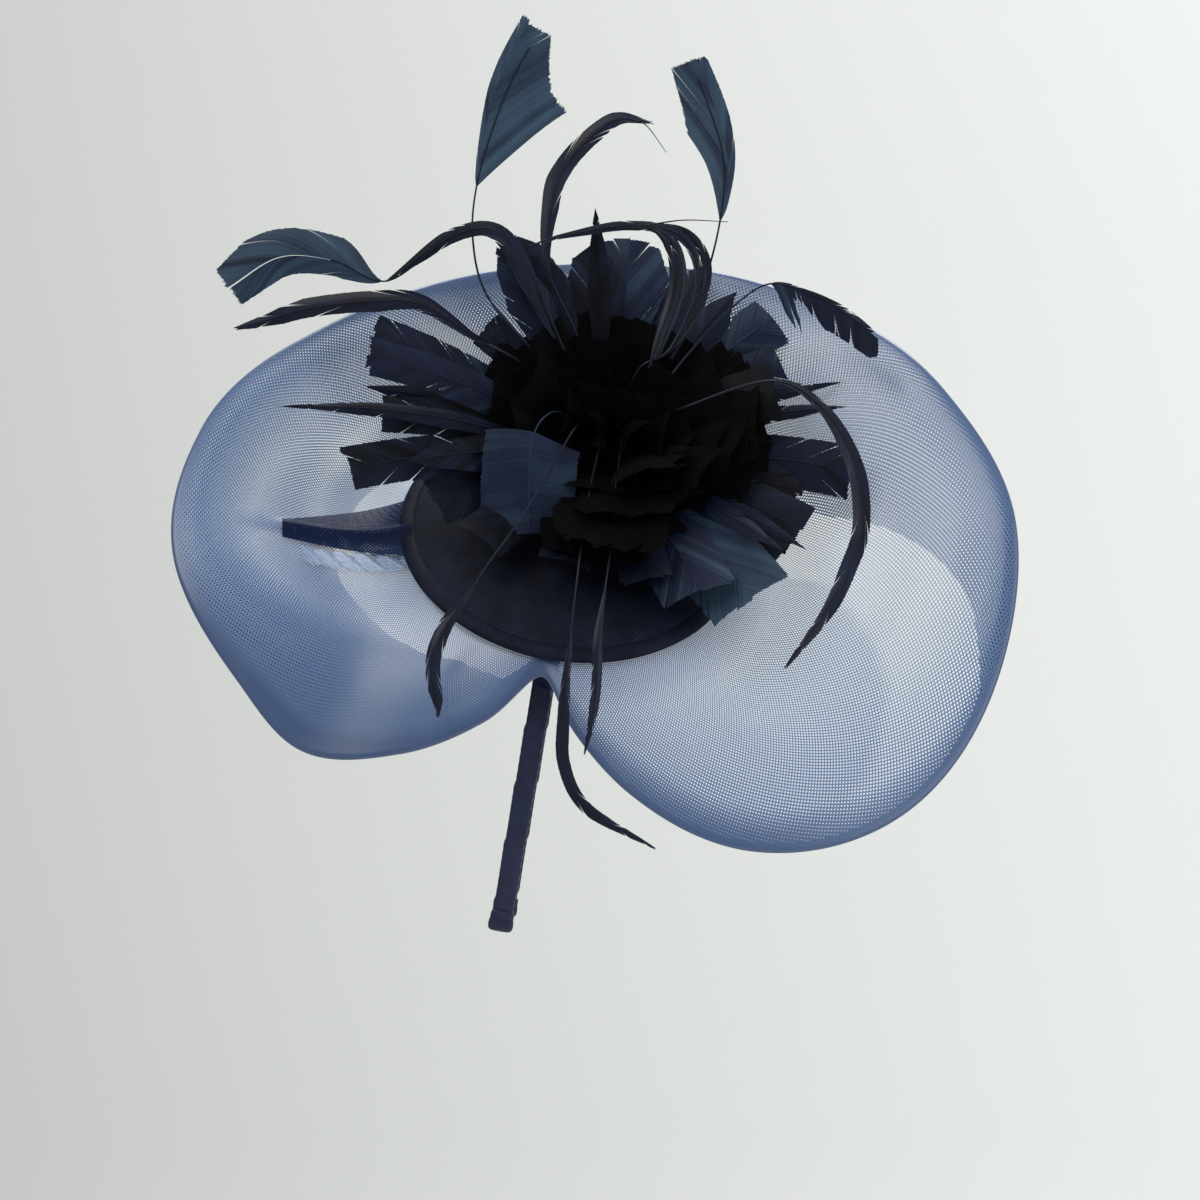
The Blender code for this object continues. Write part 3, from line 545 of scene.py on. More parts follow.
def rim_cover(degrees, radius, rim):
    """How dense the braid looks: threads crowd within a few mm of the fold, widest at the lower front. Painted
    shade adds to it on the back lobe and the lower lobes, where it also darkens the threads.
    """
    knots = ((-90, 7), (-60, 13), (-30, 11), (0, 5), (30, 3.5), (90, 3.5), (150, 4), (200, 6), (230, 9))
    reach = around(knots, degrees, 1) * MM
    near = np.clip(1 - (rim - radius) / reach, 0, 1)
    wider = np.clip(1 - (rim - radius) / (5 * reach), 0, 1)
    crowd = np.clip((62 * MM - radius) / (16 * MM), 0, 1) * 0.35
    # Painted shade: the back lobe's braid is drawn denser and darker.
    under = 0.42 * lobe_shade(degrees) * np.clip((radius - 50 * MM) / (rim - 50 * MM), 0, 1) ** 0.8
    # Painted shade: the lower lobes are drawn denser and darker inside the outline where the wearer's shaded
    # head would sit behind them.
    head_shade_edge = np.interp(degrees, (-90, -45, -35, -15, 3, 12), (1, 1, 0.95, 0.8, 0.6, 0)) * rim
    head_shade = 0.13 * np.clip((head_shade_edge - radius) / (5 * MM), 0, 1) + 0.12 * np.clip((degrees - 195) / 12, 0, 1)
    edges = near * 0.6 + wider**2 * 0.35 + crowd + under + head_shade
    return np.clip(edges + pleat(degrees % 360, radius) * 0.9, 0, 1)


def make_brim_layer(name, look, offset, depth, twist):
    """One layer of braid: the brim's middle moved square to itself, from the depth inside the rim to the rim.

    The UV is the length around at mid-brim and the length outwards, so the threads fan out as braid does.
    """
    degrees, share = net((-90, 270, 541), (0, 1, 80))
    rim = around(RIM_OUTLINE, degrees, 1) * MM
    radius = rim - depth(degrees, rim) * (1 - share) ** 1.4
    height = brim_height(degrees, radius)
    step = 0.2 * MM
    slope = (height - brim_height(degrees, radius - step)) / step
    tilt = 1 / np.sqrt(1 + slope**2)
    fold = np.sqrt(1 - np.clip(1 - (rim - radius) / FOLD_RADIUS, 0, 1) ** 2)
    cover = rim_cover(degrees, radius, rim)
    angle = np.radians(degrees)
    points = base_points(radius - offset * fold * slope * tilt, angle, height + offset * fold * tilt)
    uv = np.stack((angle * MID_BRIM + twist, radius / MM + 0.5 * twist), axis=-1)
    return mesh_object(name, look, points, tone=cover, uv=uv, weld=True)


def whole_depth(degrees, rim):
    """From the rim right in under the base."""
    return rim - BRIM_ROOT_RADIUS


def return_depth(degrees, rim):
    """Straight runs between the knots, kept clear of the base."""
    knots = np.array(RETURN_DEPTH, dtype=float)
    return np.minimum(np.interp(degrees, knots[:, 0], knots[:, 1]) * MM, rim - RETURN_CLEAR_RADIUS)


def make_pleat_tab(look):
    """Folded braid end beside the base: a flat wedge, wide at the base, that tapers outwards along the pleat.

    Its upper half lies along the pleat; its lower half is turned up to face the wearer's side.
    """
    share, across = net((0, 1, 60), (-1, 1, 24))
    radius = (46.5 + 38 * share) * MM
    half = (14.5 - 11.5 * share**0.8) * MM
    angle = np.radians(186 + 5 * share) + across * half / radius
    lift = (1.4 + 2.6 * (1 - share) * (0.5 + 0.5 * across) + 0.5 * (1 - across**2)) * MM
    height = brim_height(np.degrees(angle), radius) + lift
    points = base_points(radius, angle, height)
    uv = np.stack((across * half / MM, radius / MM), axis=-1)
    tone = 0.9 - 0.25 * across**2 * (1 - share)
    return mesh_object("crinoline_pleat", look, points, tone=tone, uv=uv)


def make_crimp(look):
    """Loose end of the braid under the pleat: a small strip crimped into sharp slanting folds."""
    share, across = net((0, 1, 160), (-1, 1, 40))
    radius = (48 + 31 * share) * MM
    half = (4.6 - 2.0 * share) * MM
    zigzag = np.abs((share * 11 + 0.9 * across) % 2 - 1)
    angle = np.radians(201 - 4 * share) + across * half / radius
    height = brim_height(np.degrees(angle), radius) + (1.2 + 1.5 * zigzag) * MM
    points = base_points(radius, angle, height)
    uv = np.stack((across * half / MM, radius / MM), axis=-1)
    return mesh_object("crinoline_crimp", look, points, tone=0.3 + 0.4 * zigzag, uv=uv)


# Base


def make_base(look):
    """Domed disc as one closed skin: out over the top, round the edge and back underneath."""
    angle, turn = net((0, math.tau, 160), (0, 1, 60))
    edge = BASE_RADIUS - BASE_INSET
    radius = edge * np.clip(2 * np.minimum(turn, 1 - turn) * 1.02, 0, 1)
    ripple = 0.12 * MM * np.sin(7 * angle + 1) * (radius / edge) ** 3
    height = dome_height(radius) + ripple - np.where(turn > 0.5, BASE_WALL, 0)
    points = base_points(radius, angle, height)
    flat = np.stack((radius * np.cos(angle + 0.5), radius * np.sin(angle + 0.5)), axis=-1) / MM
    # The tone paints shade into the middle of the base and paints its rim lighter.
    return mesh_object("sinamay_dome", look, points, tone=(radius / edge) ** 3, uv=flat, weld=True, flip=True)


def make_binding(look):
    """Bias strip round the edge: a flattened tube that follows the rim and sags a little between stitches."""
    angle, turn = net((0, math.tau, 240), (0, math.tau, 25))
    slope = math.atan2(BASE_RADIUS, DOME_RADIUS)
    inward = BINDING_REACH - BINDING_HALF_WIDTH * np.cos(turn)
    up = BINDING_HALF_THICKNESS * np.sin(turn) * (1 + 0.05 * np.sin(24 * angle))
    middle = dome_height(BASE_RADIUS) - BASE_WALL / 2
    radius = BASE_RADIUS - inward * math.cos(slope) + up * math.sin(slope)
    height = middle + inward * math.sin(slope) + up * math.cos(slope)
    points = base_points(radius, angle, height)
    uv = np.stack((angle * BASE_RADIUS / MM + turn * 1.8, turn * 1.8 - angle * BASE_RADIUS / MM), axis=-1)
    # The binding's tone matches the base's painted light at the rim.
    return mesh_object("sinamay_binding", look, points, tone=np.full(radius.shape, 0.7), uv=uv, weld=True)


# Headband


def band_place(share):
    """Middle of the band and its outward direction, as places in the band's plane: arm, half round, arm."""
    radius = SEAT_RADIUS + WRAP_THICKNESS / 2
    arc = math.pi * radius
    total = arc + 2 * ARM_LENGTH
    along = share * total - total / 2
    over = np.clip(np.abs(along) - arc / 2, 0, None)
    turn = np.clip(along, -arc / 2, arc / 2) / radius
    closing = ARM_CLOSING * (over / ARM_LENGTH) ** 2
    across = radius * np.sin(turn) - np.sign(along) * closing
    up = radius * np.cos(turn) - SEAT_RADIUS - over
    return across, up, np.sin(turn), np.cos(turn), along


def band_skin(share, turn, half_thick, half_wide, extra):
    """Rounded flat section, a superellipse, carried along the band; extra stands outwards all round."""
    across, up, out_across, out_up, _ = band_place(share)
    thin = np.sign(np.cos(turn)) * np.abs(np.cos(turn)) ** 0.5 * (half_thick + extra)
    wide = np.sign(np.sin(turn)) * np.abs(np.sin(turn)) ** 0.5 * (half_wide + extra)
    flat = np.multiply.outer(across + out_across * thin, SIDE)
    flat = flat + np.multiply.outer(up + out_up * thin, BAND_UP)
    return flat + np.multiply.outer(wide, FORWARD)


def make_ribbon(look, wrap_pitch):
    """Ribbon wound on the band at a slant: each turn ends 0.3 mm proud of the next, which shows its edge."""
    share, turn = net((0.004, 0.996, 900), (0, math.tau, 49))
    along = band_place(share)[4]
    phase = (along / wrap_pitch + turn / math.tau) % 1.0
    extra = (0.32 * phase**1.5 - 0.12 + 0.03 * np.sin(phase * 40)) * MM
    squeeze = np.clip(1 - np.abs(2 * share - 1) ** 400, 0, 1)
    half_wide = RIBBON_WIDTH / 2 - 0.1 * MM
    points = band_skin(share, turn, WRAP_THICKNESS / 2 * squeeze, half_wide * squeeze, extra * squeeze)
    return mesh_object("satin_wrap", look, points, weld=True)


def make_ribbon_tip(name, side, look):
    """Ribbon end folded square: a short padded block with rounded edges round the band's tip."""
    length = math.pi * (SEAT_RADIUS + WRAP_THICKNESS / 2) + 2 * ARM_LENGTH
    t, turn = net((-1, 1, 40), (0, math.tau, 49))
    squeeze = np.clip(1 - np.abs(t) ** 10, 0, 1) ** 0.4
    place = 2.2 * MM - 3.2 * MM * t
    share = np.clip(place / length, -0.02, 1)
    share = share if side < 0 else 1 - share
    fold = 0.25 * MM * np.clip(np.sin(t * 3.0 + 0.6), 0, 1)
    half_wide = RIBBON_WIDTH / 2 + 0.35 * MM
    points = band_skin(share, turn, 1.9 * MM * squeeze, half_wide * squeeze, fold * squeeze)
    return mesh_object(name, look, points, weld=True, flip=side > 0)


# Feathers


def smooth_route(points, count):
    """Evenly spaced points on a Catmull-Rom curve through the given ones."""
    known = np.array(points, dtype=float)
    padded = np.vstack((2 * known[0] - known[1], known, 2 * known[-1] - known[-2]))
    pieces = []
    for i in range(len(known) - 1):
        before, start, end, after = padded[i : i + 4]
        t = np.linspace(0, 1, 24, endpoint=False)[:, None]
        bend = 2 * before - 5 * start + 4 * end - after
        turn = 3 * (start - end) + after - before
        pieces.append(start + 0.5 * ((end - before) * t + bend * t**2 + turn * t**3))
    dense = np.vstack((*pieces, known[-1]))
    along = np.concatenate(([0], np.cumsum(np.linalg.norm(np.diff(dense, axis=0), axis=1))))
    wanted = np.linspace(0, along[-1], count)
    return np.stack([np.interp(wanted, along, dense[:, k]) for k in range(3)], axis=1)


class Rachis:
    """A feather's middle line with its directions ahead, across and up, read at any share of its length."""

    def __init__(self, route, facing):
        """Carries the route a fifth of its length further, so that barbs can reach past its end."""
        step = route[-1] - route[-2]
        beyond = route[-1] + step * np.arange(1, 1 + len(route) // 5)[:, None]
        self.line = np.vstack((route, beyond))
        self.length = np.linalg.norm(np.diff(route, axis=0), axis=1).sum()
        self.knots = np.arange(len(self.line)) / (len(route) - 1)
        ahead = np.gradient(self.line, axis=0)
        ahead /= np.linalg.norm(ahead, axis=1)[:, None]
        across = np.cross(facing, ahead)
        self.across = across / np.linalg.norm(across, axis=1)[:, None]
        self.up = np.cross(ahead, self.across)

    def read(self, field, share):
        """The field's values, between its knots, at each share of the length."""
        return np.stack([np.interp(share, self.knots, field[:, k]) for k in range(3)], axis=-1)

    def place(self, share, off, rise):
        """Point at this share of the length, off to the side and risen from the vane."""
        point = self.read(self.line, share) + off[..., None] * self.read(self.across, share)
        return point + rise[..., None] * self.read(self.up, share)


# Right side, then left: (barb's root as a share of the vane, its reach as a share of the half width). Then
# the lean of each side's barbs in degrees, how far the quill is off the middle, and how far the sides part.
VANES = {
    "square": (
        ((0, 0.5), (0.3, 0.95), (1, 1.0)),
        ((0, 0.45), (0.25, 0.9), (1, 0.95)),
        32, 34, 0, 0,
    ),
    "pointed": (
        ((0, 0.4), (0.3, 1.0), (0.65, 0.7), (1, 0)),
        ((0, 0.5), (0.35, 1.0), (0.7, 0.6), (1, 0)),
        28, 28, 0, 0,
    ),
    "wide": (
        ((0, 0.96), (1, 1.0)),
        ((0, 1.0), (1, 0.93)),
        82, 84, 0, 0,
    ),
    "blade_broad": (
        ((0, 2.05), (0.25, 1.5), (0.8, 0.75), (1, 0.35)),
        ((0, 0.1), (0.4, 0.35), (1, 0.3)),
        30, 20, 0.45, 0,
    ),
    "blade_slim": (
        ((0, 0.2), (0.4, 0.6), (0.8, 0.5), (1, 0.2)),
        ((0, 1.3), (0.3, 1.2), (0.8, 1.0), (1, 0.7)),
        20, 16, -0.3, 0,
    ),
    "blade_split": (
        ((0, 0.9), (0.4, 1.1), (1, 0.6)),
        ((0, 0.5), (0.4, 0.8), (1, 0.7)),
        26, 20, 0, 0.03,
    ),
    "ragged": (
        ((0, 1.5), (0.12, 2.1), (0.16, 0.5), (0.25, 0.8), (0.4, 1.3), (0.9, 1.1), (1, 0.8)),
        ((0, 0.1), (0.5, 0.3), (1, 0.2)),
        48, 20, 0, 0,
    ),
    "curl": (
        ((0, 0.2), (0.2, 0.9), (0.6, 0.9), (1, 0.15)),
        ((0, 0.3), (0.3, 1.0), (0.7, 0.8), (1, 0.1)),
        14, 14, 0, 0,
    ),
}


def vane(rachis, half_width, start, shape, spacing, slits, gap, ragged, tone, seed, cut=1.0):
    """Both sides of a vane. Each row of a side's grid is one barb: it leaves the rachis at the lean and
    reaches its share of the half width, so it ends width / tan(lean) further along, or at the trimming cut if
    that comes first. Neighbouring barbs are zipped together, apart from some slits: there the barb is doubled,
    and the two part by the gap times the fourth power of the place along the barb.
    """
    rng = np.random.default_rng(seed)
    right, left, right_lean, left_lean, aside, part = VANES[shape]
    length = rachis.length
    count = max(int((1 - start) * length / spacing), 16)
    steps = 9
    x = np.linspace(0, 1, steps)[None, :]
    parts = []
    for side, line, lean in ((-1, right, right_lean), (1, left, left_lean)):
        splits = np.unique(rng.integers(3, count - 3, slits))
        order = np.sort(np.concatenate((np.arange(count), splits)))
        group = np.cumsum(np.concatenate(([0], np.diff(order) == 0)))
        edges = np.concatenate(([0], splits, [count]))
        within = ((order - edges[group]) / (edges[group + 1] - edges[group]) - 0.5)[:, None]
        share = order / (count - 1)
        root = (start + (1 - start) * share)[:, None]
        line = np.array(line, dtype=float)
        jitter = 1 + 0.012 * rng.standard_normal(count)[order][:, None]
        wide = (np.interp(share, line[:, 0], line[:, 1]) * half_width)[:, None] * jitter
        run = wide / math.tan(math.radians(lean)) / length
        limit = cut + ragged * rng.standard_normal(len(edges))[group][:, None]
        limit = limit + 0.002 * rng.standard_normal((len(order), 1))
        reach = np.clip((limit - root) / np.maximum(run, 1e-6), 0, 1)
        along = root + run * reach * x - within * gap / length * (reach * x) ** 4
        off = side * wide * (reach * x) ** 0.95
        leave = share[:, None]
        off = off + aside * half_width * np.sin(leave * math.pi / 2) + side * part * half_width * leave**2
        lift = 0.25 * MM * rng.standard_normal(len(edges))[group][:, None]
        rise = lift * x**2 - 0.18 * wide * (reach * x) ** 1.5
        points = rachis.place(along, off, rise)
        faces = grid_faces(len(order), steps).reshape(len(order) - 1, steps - 1, 4)[np.diff(order) > 0]
        fine = 0.06 * rng.standard_normal(count)[order][:, None]
        broad = np.interp(share, np.linspace(0, 1, 14), 0.1 * rng.standard_normal(14))[:, None]
        shade = tone + fine + broad + 0.08 * x
        parts.append((points.reshape(-1, 3), faces.reshape(-1, 4), shade.ravel()))
    return joined(parts)


def shaft(rachis, thick, thin, end, tone):
    """Round rachis that tapers from root to tip."""
    share, turn = net((0, end, 90), (0, math.tau, 7))
    size = thick + (thin - thick) * share
    points = rachis.place(share, size * np.cos(turn), size * np.sin(turn))
    return points.reshape(-1, 3), grid_faces(*share.shape), np.full(share.size, tone)


def joined(parts):
    """Stacks (points, faces, tones) parts into one."""
    starts = np.cumsum([0] + [len(points) for points, _, _ in parts[:-1]])
    faces = np.vstack([part[1] + start for part, start in zip(parts, starts)])
    return np.vstack([part[0] for part in parts]), faces, np.concatenate([part[2] for part in parts])


def petal_route(degrees, elevation, length):
    """Slightly arched line from the root ring round the heart to the petal's end."""
    turn, rise = math.radians(degrees), math.radians(elevation)
    out = math.cos(turn) * SPRAY_ACROSS + math.sin(turn) * SPRAY_BACK
    lift = np.interp(elevation, (-8, 0, 15, 30, 50), (-8.4, -7, -3, 1, 5)) * MM
    root = HEART + ROOT_RING * out + lift * SPRAY_UP
    tip = HEART + length * MM * (math.cos(rise) * out + math.sin(rise) * SPRAY_UP)
    share = np.linspace(0, 1, 40)[:, None]
    return root + share * (tip - root) + np.sin(share * math.pi) * 0.05 * length * MM * SPRAY_UP


def petal(degrees, elevation, length, half_width, end, tone, seed, spacing=0.4 * MM):
    """A trimmed goose feather: the vane starts near the root ring and ends square or pointed."""
    rachis = Rachis(petal_route(degrees, elevation, length), PETAL_FACING)
    blade = vane(rachis, half_width * MM, 0.08, end, spacing, int(length / 18), 1.0 * MM, 0.012, tone, seed)
    return joined((blade, shaft(rachis, 0.45 * MM, 0.15 * MM, 0.9, tone + 0.1)))


def front_petal(spacing):
    """The pale square petal in front: it leaves the root ring, turns down, and faces the right side."""
    points = ((-8, -11, 4), (-15, -20, 8), (-20, -27, 5), (-22.6, -30, -2), (-23.3, -31, -13))
    points += ((-23.3, -31.5, -27.5),)
    rachis = Rachis(smooth_route(points, 120) * MM + HEART, TO_VIEWER)
    points, faces, tone = vane(rachis, 14.2 * MM, 0.46, "wide", spacing, 1, 0.3 * MM, 0.003, 0.62, 77)
    blade = (points, faces, 0.52 + 0.35 * (tone - 0.62))
    return joined((blade, shaft(rachis, 0.3 * MM, 0.12 * MM, 0.97, 0.66)))


def plume(half_width, bare, shape, points, seed):
    """Long feather on a bare quill: blades are trimmed goose, curls are coque with barbs laid close."""
    first = np.array(points[0], dtype=float)
    root = first * (ROOT_RING / MM) / np.linalg.norm(first)
    route = smooth_route((root, *points), 200) * MM + HEART
    rachis = Rachis(route, TO_VIEWER)
    slits, gap, ragged, tone = (5, 1.6, 0.03, 0.3) if shape == "curl" else (2, 0.5, 0.006, 0.7)
    if shape == "ragged":
        slits, gap, ragged, tone = 7, 2.0, 0.03, 0.35
    cut = 1.1 if shape == "curl" else 1.0
    blade = vane(rachis, half_width * MM, bare, shape, 0.35 * MM, slits, gap * MM, ragged, tone, seed, cut)
    end = 0.78 if shape == "blade_split" else 0.95
    return joined((blade, shaft(rachis, 0.45 * MM, 0.14 * MM, end, 0.25)))


def strands(half_width, points, spread, seed):
    """Narrow curls beside a plume: its route, with the lower end fanned out and the tips kept together."""
    route = smooth_route(points, 200) * MM + HEART
    parts = []
    for own_seed, (across, reach) in enumerate(spread, seed):
        share = np.linspace(0, 1, len(route))[:, None]
        fan = (1 - share) ** 0.7 * np.sin(math.pi * np.clip(share * 1.6, 0, 1))
        moved = route + fan * np.array(across) * MM
        rachis = Rachis(moved[: int(reach * len(route))], TO_VIEWER)
        strand = vane(rachis, half_width * MM, 0.1, "curl", 0.35 * MM, 3, 1.5 * MM, 0.03, 0.2, own_seed, 1.1)
        parts.append(strand)
    return joined(parts)


def whisker(points, thick):
    """A single bare barb: a thin tapered tube."""
    return shaft(Rachis(smooth_route(points, 60) * MM + HEART, TO_VIEWER), thick, 0.4 * thick, 1.0, 0.15)


def black_length(degrees, full):
    """Length in mm of a black petal: shorter over the big lower petal, so that its face shows."""
    return full - 13 * math.exp(-(((degrees + 48) / 20) ** 2))


# Black petals under the hackle: direction and elevation in degrees, length and half width in mm.
FILLERS = (
    [(d, 6, 41 + 3 * math.sin(d), 9) for d in range(-10, 215, 18)]
    + [(d, 20, 40 + 3 * math.sin(2 * d), 10) for d in range(-70, 222, 20)]
    + [(d, 40, 38, 10) for d in range(0, 200, 22)]
    + [(d, 40, 30, 9) for d in range(200, 360, 26)]
    + [(d, 62, 30, 9) for d in range(0, 360, 40)]
    + [(d, -5, black_length(d, 46), 10) for d in range(-96, 0, 13)]
    + [(d, 8, black_length(d, 48), 10) for d in range(-92, 0, 14)]
    + [(d, 24, black_length(d, 44), 10) for d in range(-80, 30, 16)]
    + [(d, 26, 46, 11) for d in range(-12, 30, 8)]
    + [(d, 2, 28, 9) for d in range(215, 265, 15)]
    + [(d, 2, 60, 8) for d in range(258, 284, 8)]
    + [(d, -6, 56, 8) for d in range(254, 282, 8)]
    + [(d, 10, 36, 10) for d in range(262, 330, 11)]
)


def make_heart(look):
    """Black heart of the spray: a bound core, rings of short dark petals, then a burst of fine barbs."""
    rise, turn = net((-math.pi / 2, math.pi / 2, 25), (0, math.tau, 41))
    flat = np.multiply.outer(np.cos(rise) * np.cos(turn), SPRAY_ACROSS)
    flat = flat + np.multiply.outer(np.cos(rise) * np.sin(turn), SPRAY_BACK)
    core = HEART + 17 * MM * flat + np.multiply.outer(8 * MM * np.sin(rise) - 2 * MM, SPRAY_UP)
    parts = [(core.reshape(-1, 3), grid_faces(*rise.shape)[:, ::-1], np.full(rise.size, -0.2))]
    for number, (degrees, elevation, length, half_width) in enumerate(FILLERS):
        tone = -0.1 + 0.1 * (number % 2)
        parts.append(petal(degrees, elevation, length, half_width, "pointed", tone, 500 + number))
    rng = np.random.default_rng(11)
    count, steps = 2600, 6
    turn = rng.uniform(0, math.tau, (count, 1, 1))
    rise = rng.uniform(0.05, 1.5, (count, 1, 1))
    size = rng.uniform(20, 36, (count, 1, 1)) * MM
    x = np.linspace(0, 1, steps)[None, :, None]
    edge = np.array((-1.0, 1.0))[None, None, :]
    swirl = turn + 0.5 * x * rng.standard_normal((count, 1, 1))
    reach = size * x * np.cos(rise)
    up = size * x * np.sin(rise) * 0.75 - 3 * MM * x**2
    wide = 0.25 * MM * (1 - 0.8 * x) * edge
    east, north = np.cos(swirl)[..., None], np.sin(swirl)[..., None]
    flat = reach[..., None] * (east * SPRAY_ACROSS + north * SPRAY_BACK)
    side = wide[..., None] * (east * SPRAY_BACK - north * SPRAY_ACROSS)
    points = (HEART + flat + up[..., None] * SPRAY_UP + side).reshape(-1, 3)
    faces = np.arange(count)[:, None, None] * steps * 2 + grid_faces(steps, 2)[None]
    parts.append((points, faces.reshape(-1, 4), np.full(len(points), 0.0)))
    return mesh_object("hackle_spray", look, *joined(parts))


# Settings


def colour_property(name, description, default):
    """A colour setting whose default is sRGB hex."""
    return bpy.props.FloatVectorProperty(
        name=name, description=description, size=4, subtype="COLOR", min=0, max=1, default=linear(default)
    )


def length_property(name, description, default):
    """A length setting in metres."""
    return bpy.props.FloatProperty(
        name=name, description=description, default=default, min=0.0001, unit="LENGTH", subtype="DISTANCE"
    )


class BrimSettings(bpy.types.PropertyGroup):
    thread_pitch: length_property("Thread pitch", "Distance between the braid's bias threads", 1.15 * MM)
    layer_gap: length_property("Half gap", "Distance of each layer from the brim's middle", 0.9 * MM)
    pale: colour_property("Open braid", "Colour of the threads where the braid is open", "#6481ab")
    deep: colour_property("Crowded braid", "Colour of the threads at the folded rim", "#32496f")


class FeatherSettings(bpy.types.PropertyGroup):
    barb_spacing: length_property("Barb spacing", "Distance between barbs along the quill", 0.4 * MM)
    heart: colour_property("Hackle", "Colour of the black hackle at the heart of the spray", "#0c0c0d")
    dark: colour_property("Darkest dye", "Colour of the darkest petals, near the heart", "#05060c")
    middle: colour_property("Middle dye", "Colour of the trimmed petals", "#141b30")
    light: colour_property("Lightest dye", "Colour of the worn, paler barbs", "#354c5e")


class BandSettings(bpy.types.PropertyGroup):
    wrap_pitch: length_property("Wrap pitch", "Length of band that one turn of ribbon covers", 17 * MM)
    ribbon: colour_property("Ribbon", "Colour of the satin ribbon", "#171d35")


class StageSettings(bpy.types.PropertyGroup):
    floor: colour_property("Floor", "Colour of the floor and backdrop", "#dcdedb")
    key_power: bpy.props.FloatProperty(
        name="Key power", description="Power of the main soft light", default=30.0, min=0, unit="POWER"
    )


# Operators


class HAT_OT_brim(bpy.types.Operator):
    """Make the brim: two layers of crinoline braid that meet at the folded rim"""

    bl_idname = "hat.brim"
    bl_label = "Crinoline Brim"

    def execute(self, context):
        sizes = context.scene.hat_brim
        outer_look = crinoline_material("blue_nylon_horsehair_braid", sizes, 0.0)
        inner_look = crinoline_material("blue_nylon_horsehair_return", sizes, 0.35)
        outer = make_brim_layer("crinoline_outer", outer_look, sizes.layer_gap, whole_depth, 0)
        settle(outer, "crinoline", "crinoline_brim")
        inner = make_brim_layer("crinoline_return", inner_look, -sizes.layer_gap, return_depth, 0.6)
        settle(inner, "crinoline", "crinoline_brim")
        return {"FINISHED"}


class HAT_OT_pleat(bpy.types.Operator):
    """Make the pinched braid end that runs out from the back of the base"""

    bl_idname = "hat.pleat"
    bl_label = "Braid Pleat"

    def execute(self, context):
        sizes = context.scene.hat_brim
        piece = make_pleat_tab(crinoline_material("navy_folded_horsehair_braid", sizes, 1.0, 0.05))
        settle(piece, "crinoline", "crinoline_pleat_tab")
        crimp = make_crimp(crinoline_material("pale_crimped_horsehair_braid", sizes, -0.9, 1.6))
        settle(crimp, "crinoline", "crinoline_pleat_tab")
        return {"FINISHED"}


class HAT_OT_base(bpy.types.Operator):
    """Make the domed sinamay base and its bias binding"""

    bl_idname = "hat.base"
    bl_label = "Sinamay Base"

    def execute(self, context):
        look = sinamay_material()
        settle(make_base(look), "sinamay", "sinamay_base")
        settle(make_binding(look), "sinamay", "edge_binding")
        return {"FINISHED"}


class HAT_OT_band(bpy.types.Operator):
    """Make the ribbon wound round the headband and its folded ends"""

    bl_idname = "hat.band"
    bl_label = "Ribbon Headband"

    def execute(self, context):
        sizes = context.scene.hat_band
        look = satin_material(sizes.ribbon)
        settle(make_ribbon(look, sizes.wrap_pitch), "satin_ribbon", "ribbon_wrap")
        settle(make_ribbon_tip("satin_tip_left", 1, look), "satin_ribbon", "ribbon_tip_left")
        settle(make_ribbon_tip("satin_tip_right", -1, look), "satin_ribbon", "ribbon_tip_right")
        return {"FINISHED"}


class HAT_OT_petals(bpy.types.Operator):
    """Make the trimmed goose petals round the heart of the spray"""

    bl_idname = "hat.petals"
    bl_label = "Goose Petals"

    def execute(self, context):
        sizes = context.scene.hat_feathers
        dyes = (sizes.dark, sizes.middle, sizes.light)
        look = feather_material("dyed_goose_feather", *dyes, roughness=0.6, sheen=0.0, specular=0.1)
        extra = [petal(*values, 60 + number, sizes.barb_spacing) for number, values in enumerate(SIDE_PETALS)]
        settle(mesh_object("petal_side_barbs", look, *joined(extra)), "goose_feather")
        for number, (name, values) in enumerate(PETALS.items()):
            spacing = sizes.barb_spacing
            made = petal(*values, 10 + number, spacing) if values else front_petal(spacing)
            settle(mesh_object(name + "_barbs", look, *made), "goose_feather", name)
        return {"FINISHED"}


class HAT_OT_plumes(bpy.types.Operator):
    """Make the long feathers: stripped goose quills with trimmed blades, and narrow curled coque plumes"""

    bl_idname = "hat.plumes"
    bl_label = "Long Plumes"

    def execute(self, context):
        sizes = context.scene.hat_feathers
        dyes = (sizes.dark, sizes.middle, sizes.light)
        goose = feather_material("stripped_goose_feather", *dyes, roughness=0.5, sheen=0.0, specular=0.16)
        coque = feather_material("coque_tail_feather", *dyes, roughness=0.35, sheen=0.0, specular=0.2)
        for number, (name, values) in enumerate(PLUMES.items()):
            parts = [plume(*values, 100 + number)]
            if name == "coque_plume_arch":
                spread = (((-7, -2, -5), 0.75), ((-11, -3, -9), 0.62), ((4, 2, 3), 0.7))
                parts.append(strands(1.5, values[3], spread, 140))
                parts.append(whisker(((11, -6, 63), (22, -6, 64.5), (35, -6, 64)), 0.25 * MM))
            if name == "stripped_feather_left":
                parts.append(strands(2.4, values[3][:5], (((0, 0, 0), 1.0), ((-2, -1, -2), 0.8)), 150))
            if name == "coque_plume_top":
                parts.append(whisker(((6, 7, 95), (11, 7, 93), (17, 7, 85)), 0.2 * MM))
            look = goose if name.startswith("stripped") else coque
            settle(mesh_object(name + "_barbs", look, *joined(parts)), "coque_feather", name)
        return {"FINISHED"}


class HAT_OT_heart(bpy.types.Operator):
    """Make the black heart of the spray: short petals under a burst of hackle"""

    bl_idname = "hat.heart"
    bl_label = "Hackle Heart"

    def execute(self, context):
        blacks = (context.scene.hat_feathers.heart, linear("#111114"), linear("#1b1d24"))
        look = feather_material("black_hackle", *blacks, roughness=0.9, sheen=0.0, specular=0.0)
        settle(make_heart(look), "hackle", "hackle_heart")
        return {"FINISHED"}


